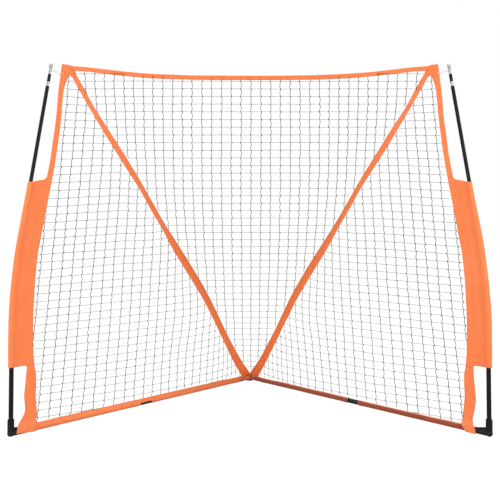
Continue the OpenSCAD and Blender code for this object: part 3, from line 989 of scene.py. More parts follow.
@dataclass
class Workshop:
    """What every sub-assembly needs: the finishes and the two trees."""

    finishes: Wardrobe
    cords: CordTree
    stitches: StitchTree

    def cloth(
        self, obj: bpy.types.Object, material: bpy.types.Material, flat: Pair, *rests_on: str
    ) -> bpy.types.Object:
        """Gives a sheet of cloth its material.

        Args:
            obj: The sheet.
            material: Its material.
            flat: Its flat width and length; not used.
            *rests_on: What it is held by; not used.

        Returns:
            The sheet.
        """
        obj.data.materials.clear()
        obj.data.materials.append(material)
        return obj

    def ride(self, obj: bpy.types.Object, side: Side, slot: Slot, *nodes: str) -> None:
        """Makes a piece ride on its half and stand for its CAD nodes.

        Args:
            obj: The piece.
            side: The half that it rides on.
            slot: The record's slot of its finish; not used.
            *nodes: CAD nodes that it replaces.
        """
        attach(obj, side.body)
        if nodes:
            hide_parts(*nodes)
        LOG.info("%s rides on %s, %d faces", obj.name, side.body, len(obj.data.polygons))

    def bend(self, obj: bpy.types.Object, half: float, slot: Slot, *nodes: str) -> None:
        """Hides the CAD nodes that a piece stands for and bakes its place into its mesh.

        Args:
            obj: The piece.
            half: Distance from the middle at which it is fixed to each half; not used.
            slot: The record's slot of its finish; not used.
            *nodes: CAD nodes that it replaces.
        """
        if nodes:
            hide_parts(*nodes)
        Side.LEFT.body
        Side.RIGHT.body
        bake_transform(obj)
        LOG.info("%s bends between the halves, %d faces", obj.name, len(obj.data.polygons))


# ---------------------------------------------------------------- cloth bands


@dataclass
class FoldedBand:
    """A strip of cloth folded over an edge and sewn down, between two lines of equal count.

    Attributes:
        outer: The line of its fold.
        inner: The line of its hem.
        thickness: Its greatest thickness.
        wave: Height of the ripples along it, out of its plane.
        seed: Picks its ripples.
        lift: Extra distance out of the plane, from the place in it.
    """

    outer: list[Pair]
    inner: list[Pair]
    thickness: float
    wave: float
    seed: float
    lift: Callable[[float, float], float] = lambda a, h: 0.0

    def at(self, i: int, c: float) -> Triple:
        """Place on the band's middle surface.

        Args:
            i: Which cross-section.
            c: Share of the way from the fold to the hem.

        Returns:
            The two coordinates in its plane, and its distance out of it.
        """
        (xa, ya), (xb, yb) = self.outer[i], self.inner[i]
        x, y = xa + (xb - xa) * c, ya + (yb - ya) * c
        wave = ripple(self.seed, x * 7, y * 7) + 0.35 * ripple(self.seed + 5, x * 26, y * 26)
        return x, y, self.wave * wave + self.lift(x, y)

    def build(self, name: str, place: PlacePoint, flip: bool) -> bpy.types.Object:
        """Builds the band as a closed mesh.

        Args:
            name: Name of the object.
            place: Turns a place in the band's plane into one of the goal's frame.
            flip: Whether the faces are turned over.

        Returns:
            The band.
        """
        section = [*BAND_PROFILE, *((c, -t) for c, t in reversed(BAND_PROFILE[1:-1]))]
        rows, count = len(self.outer), len(section)
        verts, uvs, run = [], [], 0.0
        for i in range(rows):
            if i:
                run += math.dist(self.at(i, 0.5)[:2], self.at(i - 1, 0.5)[:2])
            width = math.dist(self.outer[i], self.inner[i])
            for c, t in section:
                x, y, z = self.at(i, c)
                verts.append(place(x, y, z + t * self.thickness / 2))
                uvs.append((run, c * width if t >= 0 else -c * width))
        faces = grid_faces(rows, count, True)
        faces.append(tuple(reversed(range(count))))
        faces.append(tuple(range((rows - 1) * count, rows * count)))
        return mesh_object(name, verts, faces, uvs, flip)

    def seams(self, place: PlacePoint, shares: Sequence[float], trim: int) -> list[list[Vector]]:
        """Lines of stitches on both faces.

        Args:
            place: Turns a place in the band's plane into one of the goal's frame.
            shares: Where the seams run across the band.
            trim: Cross-sections left out at each end.

        Returns:
            One line for each seam and face.
        """
        profile = Track(BAND_PROFILE)
        lines = []
        for c in shares:
            out = profile(c) * self.thickness / 2 + 0.0001
            middle = [self.at(i, c) for i in range(trim, len(self.outer) - trim)]
            lines += [[place(x, y, z + face * out) for x, y, z in middle] for face in (1, -1)]
        return lines


# ---------------------------------------------------------------- sub-assemblies


@dataclass(frozen=True)
class PolePath:
    """Axis of a pole in the plane of its wall."""

    lean: float = math.radians(3.5)
    run: float = 0.390
    radius: float = 2.8
    bend: float = math.radians(9.3)

    def at(self, h: float) -> float:
        """Distance back along the leg of the axis.

        Args:
            h: Height up the wall.

        Returns:
            The distance.
        """
        h_run = self.run * math.cos(self.lean)
        if h <= h_run:
            return h * math.tan(self.lean)
        top = self.lean + self.bend
        h_end = h_run + self.radius * (math.sin(top) - math.sin(self.lean))
        angle = math.asin((min(h, h_end) - h_run) / self.radius + math.sin(self.lean))
        bow = self.run * math.sin(self.lean) + self.radius * (math.cos(self.lean) - math.cos(angle))
        return bow + max(h - h_end, 0.0) * math.tan(top)


@dataclass(frozen=True)
class SideShape:
    """What differs between the two side walls.

    Attributes:
        seed: Picks its ripples.
        fold: Corners of the low band's front edge, as distance along the leg and height.
        hem: Corners of its rear edge.
        ridge: Height of the base sleeve's ridge above the leg's axis.
        slack: How far the ridge hangs lower along the middle of the leg.
        gap: Where the base sleeve is cut out over the joint of the tubes.
        cut: Share of the sleeve's girth cut out there, 1 where it is cut through.
        row_drop: How far the net's lowest rows hang lower.
        widths: Flat widths of the front band, low band, corner web and seam band.
        base_flat: Flat width and length of the base sleeve.
    """

    seed: float
    fold: tuple[Pair, ...]
    hem: tuple[Pair, ...]
    ridge: float
    slack: float
    gap: Pair
    cut: float
    row_drop: float
    widths: tuple[float, float, float, float]
    base_flat: Pair


SHAPES = {
    Side.LEFT: SideShape(
        seed=2.0,
        fold=(
            (0.0828, 0.270), (0.0772, 0.235), (0.0703, 0.185), (0.0645, 0.151), (0.0632, 0.135), (0.0660, 0.095),
            (0.0622, 0.070), (0.0535, 0.0564), (0.0395, 0.0375), (0.0268, 0.0235), (0.0205, 0.0103),
            (0.0177, -0.0056),
        ),
        hem=(
            (0.1138, 0.270), (0.1215, 0.228), (0.1195, 0.18), (0.1150, 0.131), (0.1155, 0.08), (0.1168, 0.057),
            (0.1132, 0.040), (0.108, 0.028), (0.105, 0.012), (0.101, -0.0125),
        ),
        ridge=0.0203, slack=0.0, gap=(0.632, 0.7095), cut=0.5, row_drop=0.0,
        widths=(0.03, 0.0572, 0.0329, 0.0425), base_flat=(0.081, 1.3248),
    ),
    Side.RIGHT: SideShape(
        seed=7.0,
        fold=(
            (0.0808, 0.270), (0.078, 0.235), (0.0715, 0.19), (0.0634, 0.139), (0.0634, 0.118), (0.0650, 0.093),
            (0.0705, 0.058), (0.0736, 0.042), (0.0680, 0.0275), (0.0570, 0.0123), (0.0485, -0.0135),
        ),
        hem=(
            (0.1135, 0.270), (0.1212, 0.228), (0.1179, 0.18), (0.113, 0.131), (0.1155, 0.08), (0.1174, 0.05),
            (0.118, 0.038), (0.1165, 0.027), (0.115, 0.0109), (0.094, -0.0137),
        ),
        ridge=0.0152, slack=0.0034, gap=(0.647, 0.709), cut=1.0, row_drop=0.010,
        widths=(0.0302, 0.0495, 0.0329, 0.0423), base_flat=(0.075, 1.2628),
    ),
}


@dataclass
class SideWall:
    """The cloth and netting of one side.

    Attributes:
        side: Which side.
        shop: The workshop.
        net_height: Height of the top corner up the wall.
        sleeve_low: Height of the pole sleeve's foot.
        sleeve_high: Height of its top at the pole.
        pocket_r: Radius of its pocket.
        leg_start: Where the base sleeve begins along the leg.
        leg_end: Where it ends.
        loose: Spare width of the pocket, by height.
        hem_line: Rear edge of the front band along the leg, by height.
        fold_line: Its front edge.
        seam_widths: Width of the diagonal band along the leg, by height.
        path: Axis of the pole.
    """

    side: Side
    shop: Workshop
    net_height: float = 1.687
    sleeve_low: float = 0.270
    sleeve_high: float = 1.0845
    pocket_r: float = 0.0113
    leg_start: float = 0.0612
    leg_end: float = 1.386
    loose: Track = Track((
        (0.27, 0.0022), (0.33, 0.0030), (0.45, 0.0036), (0.62, 0.0038), (0.76, 0.0040), (0.89, 0.0029),
        (0.97, 0.0014), (1.02, 0.0), (1.1, 0.0),
    ))
    hem_line: Track = Track((
        (0.0, 0.112), (0.05, 0.1125), (0.09, 0.112), (0.13, 0.1135), (0.18, 0.117), (0.225, 0.119), (0.27, 0.116),
        (0.32, 0.115), (0.37, 0.1167), (0.42, 0.1196), (0.5, 0.1247), (0.58, 0.134), (0.66, 0.1435), (0.74, 0.1564),
        (0.82, 0.175), (0.9, 0.1947), (0.98, 0.2151), (1.06, 0.2353), (1.14, 0.255), (1.22, 0.2741), (1.3, 0.2906),
        (1.38, 0.3061), (1.44, 0.3155), (1.5, 0.3242), (1.55, 0.3324), (1.575, 0.3385), (1.603, 0.3493),
        (1.618, 0.3565), (1.631, 0.3625), (1.687, 0.382),
    ))
    fold_line: Track = Track((
        (0.25, 0.0835), (0.32, 0.0845), (0.44, 0.0895), (0.6, 0.1085), (0.76, 0.1325), (0.92, 0.172), (1.0, 0.191),
        (1.08, 0.2125), (1.14, 0.2284), (1.22, 0.248), (1.3, 0.2638), (1.38, 0.2794), (1.44, 0.2898),
        (1.5, 0.2979), (1.55, 0.3059), (1.59, 0.3133), (1.687, 0.3313),
    ))
    seam_widths: Track = Track((
        (0.04, 0.0690), (0.16, 0.0561), (0.24, 0.0518), (0.32, 0.0483), (0.40, 0.0507), (0.48, 0.0533),
        (0.56, 0.0562), (0.64, 0.0596), (0.72, 0.0585), (0.80, 0.0528), (0.90, 0.0398), (1.0, 0.0401),
        (1.1, 0.0379), (1.2, 0.0429), (1.3, 0.0447), (1.4, 0.0392), (1.5, 0.0320), (1.56, 0.0272),
        (1.60, 0.0258), (1.687, 0.026),
    ))
    path: PolePath = field(default_factory=PolePath)

    def __post_init__(self) -> None:
        """Sets up the wall's plane and the side's own shape."""
        self.plane = WallPlane(self.side)
        self.flip = self.side is Side.RIGHT
        self.own = SHAPES[self.side]
        self.seed = self.own.seed

    def name(self, part: str) -> str:
        """Name of a piece on this side."""
        return f"{part}_{self.side.value}"

    def seam_inner(self, h: float) -> float:
        """Front edge of the diagonal band, along the leg."""
        return SEAM_LINE(h) - self.seam_widths(h) - 0.001 * ripple(self.seed + 3, h * 5)

    def seam_flare(self, h: float) -> float:
        """How far the diagonal band spreads past its seam, near the top corner and at its foot."""
        return 0.009 * ease(h, 1.49, 1.60) + 0.006 * (1.0 - ease(h, 0.02, 0.11))

    # ------------------------------------------------ bands

    def front_band(self) -> FoldedBand:
        """Band from the base to the corner web."""
        heights = steps(self.sleeve_low - 0.012, self.net_height - WEB_H, 190)
        outer = [(self.fold_line(h) + 0.0008 * ripple(self.seed, h * 9), h) for h in heights]
        inner = [(self.hem_line(h) + 0.0008 * ripple(self.seed + 1, h * 11), h) for h in heights]
        return FoldedBand(outer, inner, thickness=0.0044, wave=0.0014, seed=self.seed)

    def low_band(self) -> FoldedBand:
        """Band below the pole sleeve, pushed inwards over the elbow's socket and the base sleeve."""
        outer, inner = spaced(rounded(self.own.fold, 0.012), 90), spaced(rounded(self.own.hem, 0.010), 90)

        def drape(a: float, h: float) -> float:
            """How far the cloth is pushed inwards."""
            return 0.0152 * ease(0.040 - h, 0.0, 0.026) * (1.0 - 0.05 * ease(a, 0.06, 0.1))

        return FoldedBand(outer, inner, thickness=0.0026, wave=0.0022, seed=self.seed + 2, lift=drape)

    def corner_web(self) -> FoldedBand:
        """Web at the top corner, between the front band, the top and the diagonal band."""
        top, low = self.net_height, self.net_height - WEB_H
        foot, near = low - 0.003, top - 0.03
        wide, lean = self.seam_flare(low), SEAM_LINE(foot) - self.seam_widths(low) - 0.001 * ripple(self.seed + 3, low * 5)
        fold = [
            (self.fold_line(foot), foot), (self.fold_line(near), near), (self.fold_line(top), top),
            (SEAM_LINE(top) + 0.003, top + 0.004), (SEAM_LINE(near) + wide, near), (SEAM_LINE(foot) + wide, foot),
        ]
        notch = [
            (self.hem_line(foot), foot), (0.3650, low + 0.005), (0.3700, low + 0.0055), (lean - 0.003, low + 0.001),
            (lean, foot),
        ]
        outer, inner = spaced(rounded(fold, 0.004), 70), spaced(rounded(notch, 0.004, 8), 70)
        return FoldedBand(outer, inner, thickness=0.0044, wave=0.0008, seed=self.seed + 4)

    def seam_band(self) -> FoldedBand:
        """Diagonal band, from the corner web down to the rear apex."""
        heights = steps(self.net_height - WEB_H, 0.0125, 200)
        outer = [(SEAM_LINE(h) + self.seam_flare(h) + 0.0008 * ripple(self.seed + 8, h * 8), h) for h in heights]
        inner = [(self.seam_inner(h), h) for h in heights]
        return FoldedBand(outer, inner, thickness=0.0042, wave=0.0016, seed=self.seed + 6)

    # ------------------------------------------------ pole sleeve

    def sleeve_section(self, share: float) -> list[Triple]:
        """One level cross-section of the pole sleeve: two layers and the pocket round the pole.

        Args:
            share: How far up the sleeve the section is, from 0 to 1.

        Returns:
            Its points, as distance along the leg, height and distance inwards.
        """
        rise = (self.sleeve_high - self.sleeve_low) * share
        h = self.sleeve_low + rise
        axis, rear = self.path.at(h), self.fold_line(h) + 0.007
        slack = 0.0010 * ripple(self.seed + 9, h * 6) + 0.0005 * ripple(self.seed + 10, h * 21)
        r, spare = self.pocket_r + max(slack, -0.0005), self.loose(h) / 2
        open_at, layer = math.radians(34), 0.0009
        neck = axis + r * math.cos(open_at) + 0.006
        half = [(a, layer) for a in steps(rear, neck, 17)] + [(neck - 0.003, layer + 0.0016)]
        for angle in steps(open_at, math.pi, 13):
            half.append((axis - spare + (r + spare) * math.cos(angle), r * math.sin(angle) * 0.985))
        top, foot = ease(share, 0.93, 1.0), 1 - ease(share, 0.0, 0.06)
        result = []
        for a, z in half + [(a, -z) for a, z in reversed(half[:-1])]:
            c = min(max((a - axis) / (rear - axis), 0.0), 1.0)
            level = h + 0.017 * c * top + 0.004 * ease(c, 0.0, 0.5) * top
            level += 0.012 * ease(c, 0.72, 0.95) ** 2 * ease(share, 0.9, 1.0) - 0.010 * ease(c, 0.74, 0.95) ** 2 * foot
            folds = 0.0028 * ripple(self.seed + 11, h * 3.1, c * 1.5) + 0.0012 * ripple(self.seed + 12, h * 11, c * 4)
            bulk = 0.0016 if z > 0 else -0.0016
            z += (folds + bulk) * math.sin(math.pi * c)
            result.append((a + (self.fold_line(level) - self.fold_line(h)) * c, level, z))
        return result

    def build_sleeve(self) -> None:
        """Builds the pole sleeve as one sheet folded round the pole."""
        verts, uvs, columns = [], [], 0
        for share in steps(0.0, 1.0, SLEEVE_ROWS):
            section = self.sleeve_section(share)
            columns, around = len(section), 0.0
            for j, (a, level, z) in enumerate(section):
                if j:
                    around += math.dist(section[j - 1][::2], (a, z))
                verts.append(self.plane.point(a, level, z))
                uvs.append((level, around))
        faces = grid_faces(SLEEVE_ROWS, columns, False)
        obj = solidify(mesh_object(self.name("sleeve_cloth"), verts, faces, uvs, self.flip), 0.0008)
        poles = self.name("pole_lower"), self.name("pole_upper")
        self.shop.cloth(obj, self.shop.finishes.cloth, (0.185, 0.84), *poles)
        self.shop.ride(obj, self.side, Slot.CLOTH, self.name("pole_sleeve"))

    def sleeve_seams(self) -> list[list[Vector]]:
        """Seams of the pole sleeve: along the pocket and along its top and foot."""
        sections = [self.sleeve_section(share) for share in steps(0.0, 1.0, SLEEVE_ROWS)[2:-2]]
        lines = []
        for index in (17, -18):
            points = [section[index] for section in sections]
            lines.append([self.plane.point(a, level, z + math.copysign(0.0005, z)) for a, level, z in points])
        for share in (0.012, 0.988):
            section = self.sleeve_section(share)
            for part, out in ((section[:16], 0.0005), (section[-16:], -0.0005)):
                lines.append([self.plane.point(a, level, z + out) for a, level, z in part])
        return lines

    # ------------------------------------------------ base sleeve

    def tube_r(self, a: float) -> float:
        """Inner radius of the base sleeve along the leg: wider over the joint and the hinge arm."""
        wider = max(ease(a, 0.60, 0.635) * ease(0.748 - a, 0.0, 0.035), ease(a, 1.27, 1.295))
        return 0.0115 + 0.0008 * wider + 0.0003 * max(ripple(self.seed + 13, a * 6), -0.4)

    def wrap(self, a: float) -> float:
        """How far round from its ridge the base sleeve reaches, in half turns."""
        start, end = self.own.gap
        inside = ease(a, start - 0.006, start + 0.010) * ease(end + 0.006 - a, 0.0, 0.016)
        return 1.0 - max(inside * min(self.own.cut, 0.5), ease(a, 1.315, 1.345) * 0.42)

    def ridge_at(self, a: float) -> float:
        """Height of the base sleeve's ridge above the leg's axis."""
        top = self.own.ridge - self.own.slack * math.exp(-(((a - 0.47) / 0.19) ** 2)) - 0.0030 * ease(a, 1.15, 1.37)
        return top + 0.0010 * ripple(self.seed + 14, a * 9) + 0.0006 * ripple(self.seed + 15, a * 31)

    def wrap_point(self, a: float, share: float) -> Pair:
        """Point of the base sleeve's cross-section.

        Args:
            a: Distance along the leg.
            share: -1 to 1, from one lower edge over the ridge to the other.

        Returns:
            Distance inwards and height.
        """
        r = self.tube_r(a)
        top = max(self.ridge_at(a), r + 0.0022)
        tilt = math.acos(r / top)
        straight = math.sqrt(top * top - r * r)
        run = abs(share) * self.wrap(a) * (straight + r * (math.pi - tilt))
        if run <= straight:
            t = run / straight
            x, y = r * math.sin(tilt) * t + 0.0007 * (1 - t), top + (r * math.cos(tilt) - top) * t
        else:
            angle = tilt + (run - straight) / r
            x, y = r * math.sin(angle) + 0.0006 * ripple(self.seed + 16, a * 12, angle), r * math.cos(angle) - 0.0003
        lean = 0.0018 * ripple(self.seed + 17, a * 5) * ease(y, 0.0, 0.02)
        return math.copysign(max(x, 0.0), share) + lean, y

    def lengths(self) -> list[Pair]:
        """Where the base sleeve's lengths begin and end: one, or two with a gap between them."""
        if self.own.cut < 1.0:
            return [(self.leg_start, self.leg_end)]
        return [(self.leg_start, self.own.gap[0]), (self.own.gap[1], self.leg_end)]

    def ragged(self, a: float, share: float) -> float:
        """How far a cut end of the base sleeve wanders along the leg."""
        start, end = self.own.gap
        before = ease(a, start - 0.02, start) * ease(start + 0.001 - a, 0.0, 0.0005)
        after = ease(end + 0.02 - a, 0.0, 0.02) * ease(a, end - 0.001, end - 0.0005)
        return max(before, after) * 0.0012 * ripple(self.seed + 18, share * 2.0, a) if self.own.cut >= 1.0 else 0.0

    def build_base_sleeve(self) -> None:
        """Builds the sleeve round the base tubes, with its cut-out at their joint."""
        verts, uvs, faces = [], [], []
        across = steps(-1.0, 1.0, 41)
        for start, end in self.lengths():
            count, first = round((end - start) / SLEEVE_STEP), len(verts)
            for a in steps(start, end, count):
                for share in across:
                    z, h = self.wrap_point(a, share)
                    if abs(share) > 0.999 and self.wrap(a) > 0.995:
                        z = math.copysign(0.0002, share)
                    verts.append(self.plane.point(a + self.ragged(a, share), h, z))
                    uvs.append((a, share * 0.045))
            faces += [tuple(first + k for k in f) for f in grid_faces(count, len(across), False)]
        obj = solidify(mesh_object(self.name("base_sleeve_cloth"), verts, faces, uvs, not self.flip), 0.0007)
        finishes = self.shop.finishes
        # The right sleeve takes the cloth with painted shade and painted highlights.
        finish = finishes.base_cloth if self.side is Side.LEFT else finishes.shaded_cloth
        tubes = self.name("base_tube_front"), self.name("base_tube_rear")
        self.shop.cloth(obj, finish, self.own.base_flat, *tubes)
        self.shop.ride(obj, self.side, Slot.CLOTH, self.name("base_sleeve_front"), self.name("base_sleeve_rear"))

    def base_seams(self) -> list[list[Vector]]:
        """Two seams along the base sleeve's ridge, on both faces."""
        lines = []
        for share in (0.10, 0.20):
            for face in (1, -1):
                for start, end in self.lengths():
                    line = []
                    for a in steps(start + 0.003, end - 0.003, round((end - start) / SLEEVE_STEP)):
                        z, h = self.wrap_point(a, face * share)
                        line.append(self.plane.point(a, h, z + face * 0.0005))
                    lines.append(line)
        return lines

    # ------------------------------------------------ netting

    def row_height(self, index: float, a: float) -> float:
        """Height of a row of the net.

        Args:
            index: Which row, counted from the base.
            a: Distance along the leg.

        Returns:
            The height.
        """
        h = 0.064 + ROW_RISE * index + 0.000075 * index**2
        h -= self.own.row_drop * (1 - ease(h, 0.0, 0.4))
        swing = min((h - 0.41) * 0.062, 0.046)
        h += swing * min((a - 0.24) / 0.36, 1.0 + 0.25 * ease(a, 0.6, 0.95))
        to_seam = max(self.seam_inner(h) - a, 0.0)
        return h + 0.019 * math.exp(-to_seam / 0.085) * (1 - ease(h, 0.75, 1.1))

    def net_columns(self) -> list[float]:
        """Feet of the net's columns along the leg."""
        first, step = 0.120, 0.0515
        feet = [first - step * k for k in range(8, -1, -1)]
        a = first
        while a < 1.36:
            a += step + 0.0045 * ease(a, 0.2, 0.3) - 0.004 * ease(a, 0.6, 0.75) - 0.018 * ease(a, 0.98, 1.22)
            feet.append(a)
        return feet

    def column_at(self, foot: float, h: float) -> float:
        """Distance along the leg of a column at a height."""
        bulge = 0.016 * math.exp(-(((h - 0.42) / 0.14) ** 2)) * ease(foot, 0.74, 0.88)
        return foot + LEAN * (h - 0.06) + bulge

    def inside(self, a: float, h: float, under: float) -> bool:
        """Whether a point is in the netting, or at most a little under the cloth round it.

        Args:
            a: Distance along the leg.
            h: Height up the wall.
            under: How far under the cloth still counts.

        Returns:
            True inside.
        """
        web = self.net_height - 0.045
        return (
            self.own.ridge - 0.004 - under * 0.3 < h < web
            and self.hem_line(h) - under < a < self.seam_inner(h) + under
            and (h < 1.60 or abs(a - 0.3655) < 0.024 * (web - h) / 0.04 + under)
        )

    def net_point(self, a: float, h: float, jog: float = 0.0, rise: float = 0.0) -> Vector:
        """Point of the slack net, moved by a jog along the leg and a rise."""
        reach = min(a - self.hem_line(h), SEAM_LINE(h) - a, h + 0.02)
        billow = ease(reach, 0.0, 0.25) * (0.006 + 0.006 * ripple(self.seed + 20, a * 2.4, h * 2.4))
        return self.plane.point(a + jog, h + rise, billow)

    def upright_point(self, number: int, foot: float, index: int, part: int) -> CordPoint | None:
        """Point of a column of the net.

        Args:
            number: Which column.
            foot: Its place at the base.
            index: The row below the point.
            part: Thirds of the way to the next row.

        Returns:
            The point, or None outside the net.
        """
        t = index + part / 3
        a = self.column_at(foot, self.row_height(t, self.column_at(foot, 0.0) + LEAN * ROW_RISE * t))
        h = self.row_height(t, a)
        jog = 0.0026 * math.sin(TAU * t + 2.4 * math.sin(number * 1.7))
        jog += 0.0021 * ripple(self.seed + number * 0.37, t * 0.55)
        if not self.inside(a + jog, h, 0.007):
            return None
        knot = 1.0 if part == 0 and self.inside(a, h, -0.002) else 0.0
        return self.net_point(a, h, jog=jog), UPRIGHT_R - 0.00005 - 0.0004 * ease(a, 0.95, 1.3), knot

    def level_point(self, index: int, a: float) -> CordPoint | None:
        """Point of a row of the net.

        Args:
            index: Which row.
            a: Distance along the leg.

        Returns:
            The point, or None outside the net.
        """
        h = self.row_height(index, a)
        rise = 0.0009 * ripple(self.seed + 40 + index * 0.31, a * 21) + 0.0006 * ripple(self.seed + 60, a * 44, index * 3.0)
        return (self.net_point(a, h, rise=rise), LEVEL_R, 0.0) if self.inside(a, h + rise, 0.007) else None

    def net_lines(self) -> list[list[CordPoint]]:
        """Guide lines of the side net's columns and rows."""
        lines = []
        for number, foot in enumerate(self.net_columns()):
            spots = [(index, part) for index in range(-2, 46) for part in range(3)]
            lines += unbroken((self.upright_point(number, foot, *spot) for spot in spots), 3)
        for index in range(-1, 46):
            lines += unbroken((self.level_point(index, 0.05 + step * 0.0125) for step in range(113)), 3)
        return lines

    def build(self) -> None:
        """Builds and dresses every piece of this side."""
        finishes, place = self.shop.finishes, self.plane.point
        bands = (
            ("front_band_cloth", self.front_band(), "front_band", 1.38, (0.80, 0.92)),
            ("low_band_cloth", self.low_band(), "low_band", 0.28, (0.12, 0.90)),
            ("corner_web_cloth", self.corner_web(), "corner_patch", 0.14, (0.06, 0.88)),
            ("seam_band_cloth", self.seam_band(), "seam_band", 1.90, (0.10, 0.90)),
        )
        seams: list[list[Vector]] = []
        for (name, band, node, length, shares), width in zip(bands, self.own.widths):
            obj = band.build(self.name(name), place, self.flip)
            self.shop.cloth(obj, finishes.cloth, (width, length), self.name("side_net"))
            self.shop.ride(obj, self.side, Slot.CLOTH, self.name(node))
            seams += band.seams(place, shares, 2)
        self.build_sleeve()
        self.build_base_sleeve()
        seams += self.sleeve_seams() + self.base_seams()
        thread = self.shop.stitches.sew(self.name("stitches"), seams, finishes.thread)
        self.shop.ride(thread, self.side, Slot.CLOTH)
        net = self.shop.cords.cords(self.name("side_netting"), self.net_lines(), finishes.netting)
        self.shop.ride(net, self.side, Slot.NETTING, self.name("side_net"))


@dataclass
class Back:
    """The back net and the band along its top.

    Attributes:
        shop: The workshop.
        strips: Pieces that the net is cut into.
        rows: How many rows are laid out before those below the net are left out.
        band_w: Width of the top band.
        fan: Spread of the columns for each metre of distance, by height.
        drops: How far the top band's edge hangs below the corners, along half of the mouth.
    """

    shop: Workshop
    strips: int = 24
    rows: int = 50
    band_w: float = 0.0215
    fan: Track = Track((
        (0.04, 0.0134), (0.20, 0.01374), (0.276, 0.01473), (0.40, 0.01514), (0.53, 0.01594), (0.85, 0.01716),
        (1.1, 0.01774), (1.4, 0.01777), (1.68, 0.01765),
    ))
    drops: Track = Track((
        (0.0, 0.0458), (0.2, 0.0449), (0.372, 0.0427), (0.585, 0.0347), (0.80, 0.0168), (0.905, 0.0061), (1.0, 0.0),
    ))
    plane: BackPlane = field(default_factory=BackPlane)

    def top_z(self, x: float) -> float:
        """Height of the top band's upper edge."""
        share = min(abs(x) / self.plane.top.x, 1.0)
        return self.plane.top.z + 0.0052 - self.drops(share) * math.cos(math.atan(0.3562))

    def in_plane(self, x: float, up: float, out: float) -> Vector:
        """Place of a point of the flat back.

        Args:
            x: Distance across.
            up: Distance up the back from its straight top line.
            out: Distance forwards.

        Returns:
            The point.
        """
        top, foot = self.plane.top, self.plane.foot
        lean = math.atan2(foot.y - top.y, top.z - foot.z)
        s, c = math.sin(lean), math.cos(lean)
        return Vector((x, top.y - up * s - out * c, top.z + up * c - out * s))

    def half_at(self, drop: float) -> float:
        """Half width of the flat back at a distance down it."""
        top, foot = self.plane.top, self.plane.foot
        return top.x + (foot.x - top.x) * drop / math.hypot(foot.y - top.y, top.z - foot.z)

    def top_band(self) -> FoldedBand:
        """Band along the top, with a small fillet at both corners."""
        fold, hem = [], []
        for t in steps(-1.0, 1.0, 240):
            # closer cross-sections near the corners
            share = math.copysign(abs(t) ** 0.8, t)
            x = share * self.plane.top.x
            drop = self.drops(abs(share)) - 0.0055
            fold.append((x, -drop - 0.0006 * ripple(31, x * 9)))
            low = drop + self.band_w + 0.006 * ease(abs(share), 0.955, 1.0) ** 2
            inner_x = math.copysign(min(abs(x), self.half_at(low) - 0.0005), x)
            hem.append((inner_x, -low + 0.0006 * ripple(33, x * 8)))
        return FoldedBand(fold, hem, thickness=0.0042, wave=0.0022, seed=11.0)

    def mid_rows(self) -> list[float]:
        """Heights of the net's rows in its middle, from the top down."""
        heights, z = [], self.top_z(0.0) - self.band_w * 0.94 - 0.012 + 2 * 0.037
        for _ in range(self.rows):
            heights.append(z)
            z -= 0.0370 - 0.0022 * ease(0.75 - z, 0.0, 0.5)
        return [h for h in heights if h > 0.062]

    def column_x(self, number: int, z: float) -> float:
        """Distance across of a column at a height: the columns draw together near the foot."""
        return (number + 0.1) * self.fan(z) * (self.plane.depth(0.0, z) - self.plane.level_y)

    def net_point(self, x: float, z: float) -> Vector:
        """Point of the slack net."""
        flutter = 0.004 * ripple(51, x * 3, z * 3) * ease(self.plane.half_width(z) - abs(x), 0.0, 0.15)
        return Vector((x, self.plane.depth(x, z) + flutter, z))

    def hidden(self, x: float, z: float) -> bool:
        """Whether a point is outside the net."""
        return abs(x) > self.plane.half_width(z) + 0.001 or z > self.top_z(x) - 0.012 or z < 0.05

    def upright_point(self, number: int, t: float, mid: float, last: bool) -> CordPoint | None:
        """Point of a column of the net.

        Args:
            number: Which column.
            t: Row number, with a fraction between rows.
            mid: Height of the net's middle there.
            last: Whether it ends the strip, whose knots the next one has.

        Returns:
            The point, or None outside the net.
        """
        z = self.plane.row_z(mid, self.column_x(number, mid))
        x = self.column_x(number, z)
        z = self.plane.row_z(mid, x)
        jog = 0.0026 * math.sin(TAU * t + 2.1 * math.sin(number * 2.3)) + 0.0021 * ripple(70 + number * 0.41, t * 0.5)
        if self.hidden(x + jog, z):
            return None
        on_row = abs(t - round(t)) < 0.01 and not last
        knot = 1.0 if on_row and not self.hidden(abs(x) + 0.004, z + 0.012) else 0.0
        return self.net_point(x + jog, z), UPRIGHT_R, knot

    def level_point(self, number: int, mid: float, x: float) -> CordPoint | None:
        """Point of a row of the net.

        Args:
            number: Which row.
            mid: Its height in the middle.
            x: Distance across.

        Returns:
            The point, or None outside the net.
        """
        z = self.plane.row_z(mid, x) + 0.0009 * ripple(90 + number * 0.29, x * 21)
        return None if self.hidden(x, z) else (self.net_point(x, z), LEVEL_R, 0.0)

    def net_lines(self, top: float, foot: float) -> list[list[CordPoint]]:
        """Guide lines of the part of the net between two rows.

        Args:
            top: Number of the first row.
            foot: Number of the last row's end.

        Returns:
            The lines.
        """
        rows, lines, spots = self.mid_rows(), [], []
        for step in range(round((foot - top) * 3) + 1):
            t = top + step / 3
            i = min(max(math.floor(t), 0), len(rows) - 2)
            spots.append((t, rows[i] + (rows[i + 1] - rows[i]) * (t - i), t >= foot - 0.01))
        for number in range(-18, 19):
            lines += unbroken((self.upright_point(number, *spot) for spot in spots), 2)
        for number in range(max(math.ceil(top), 0), min(math.ceil(foot - 0.01), len(rows))):
            across = (step / 75 * 0.886 for step in range(-75, 76))
            lines += unbroken((self.level_point(number, rows[number], x) for x in across), 2)
        return lines

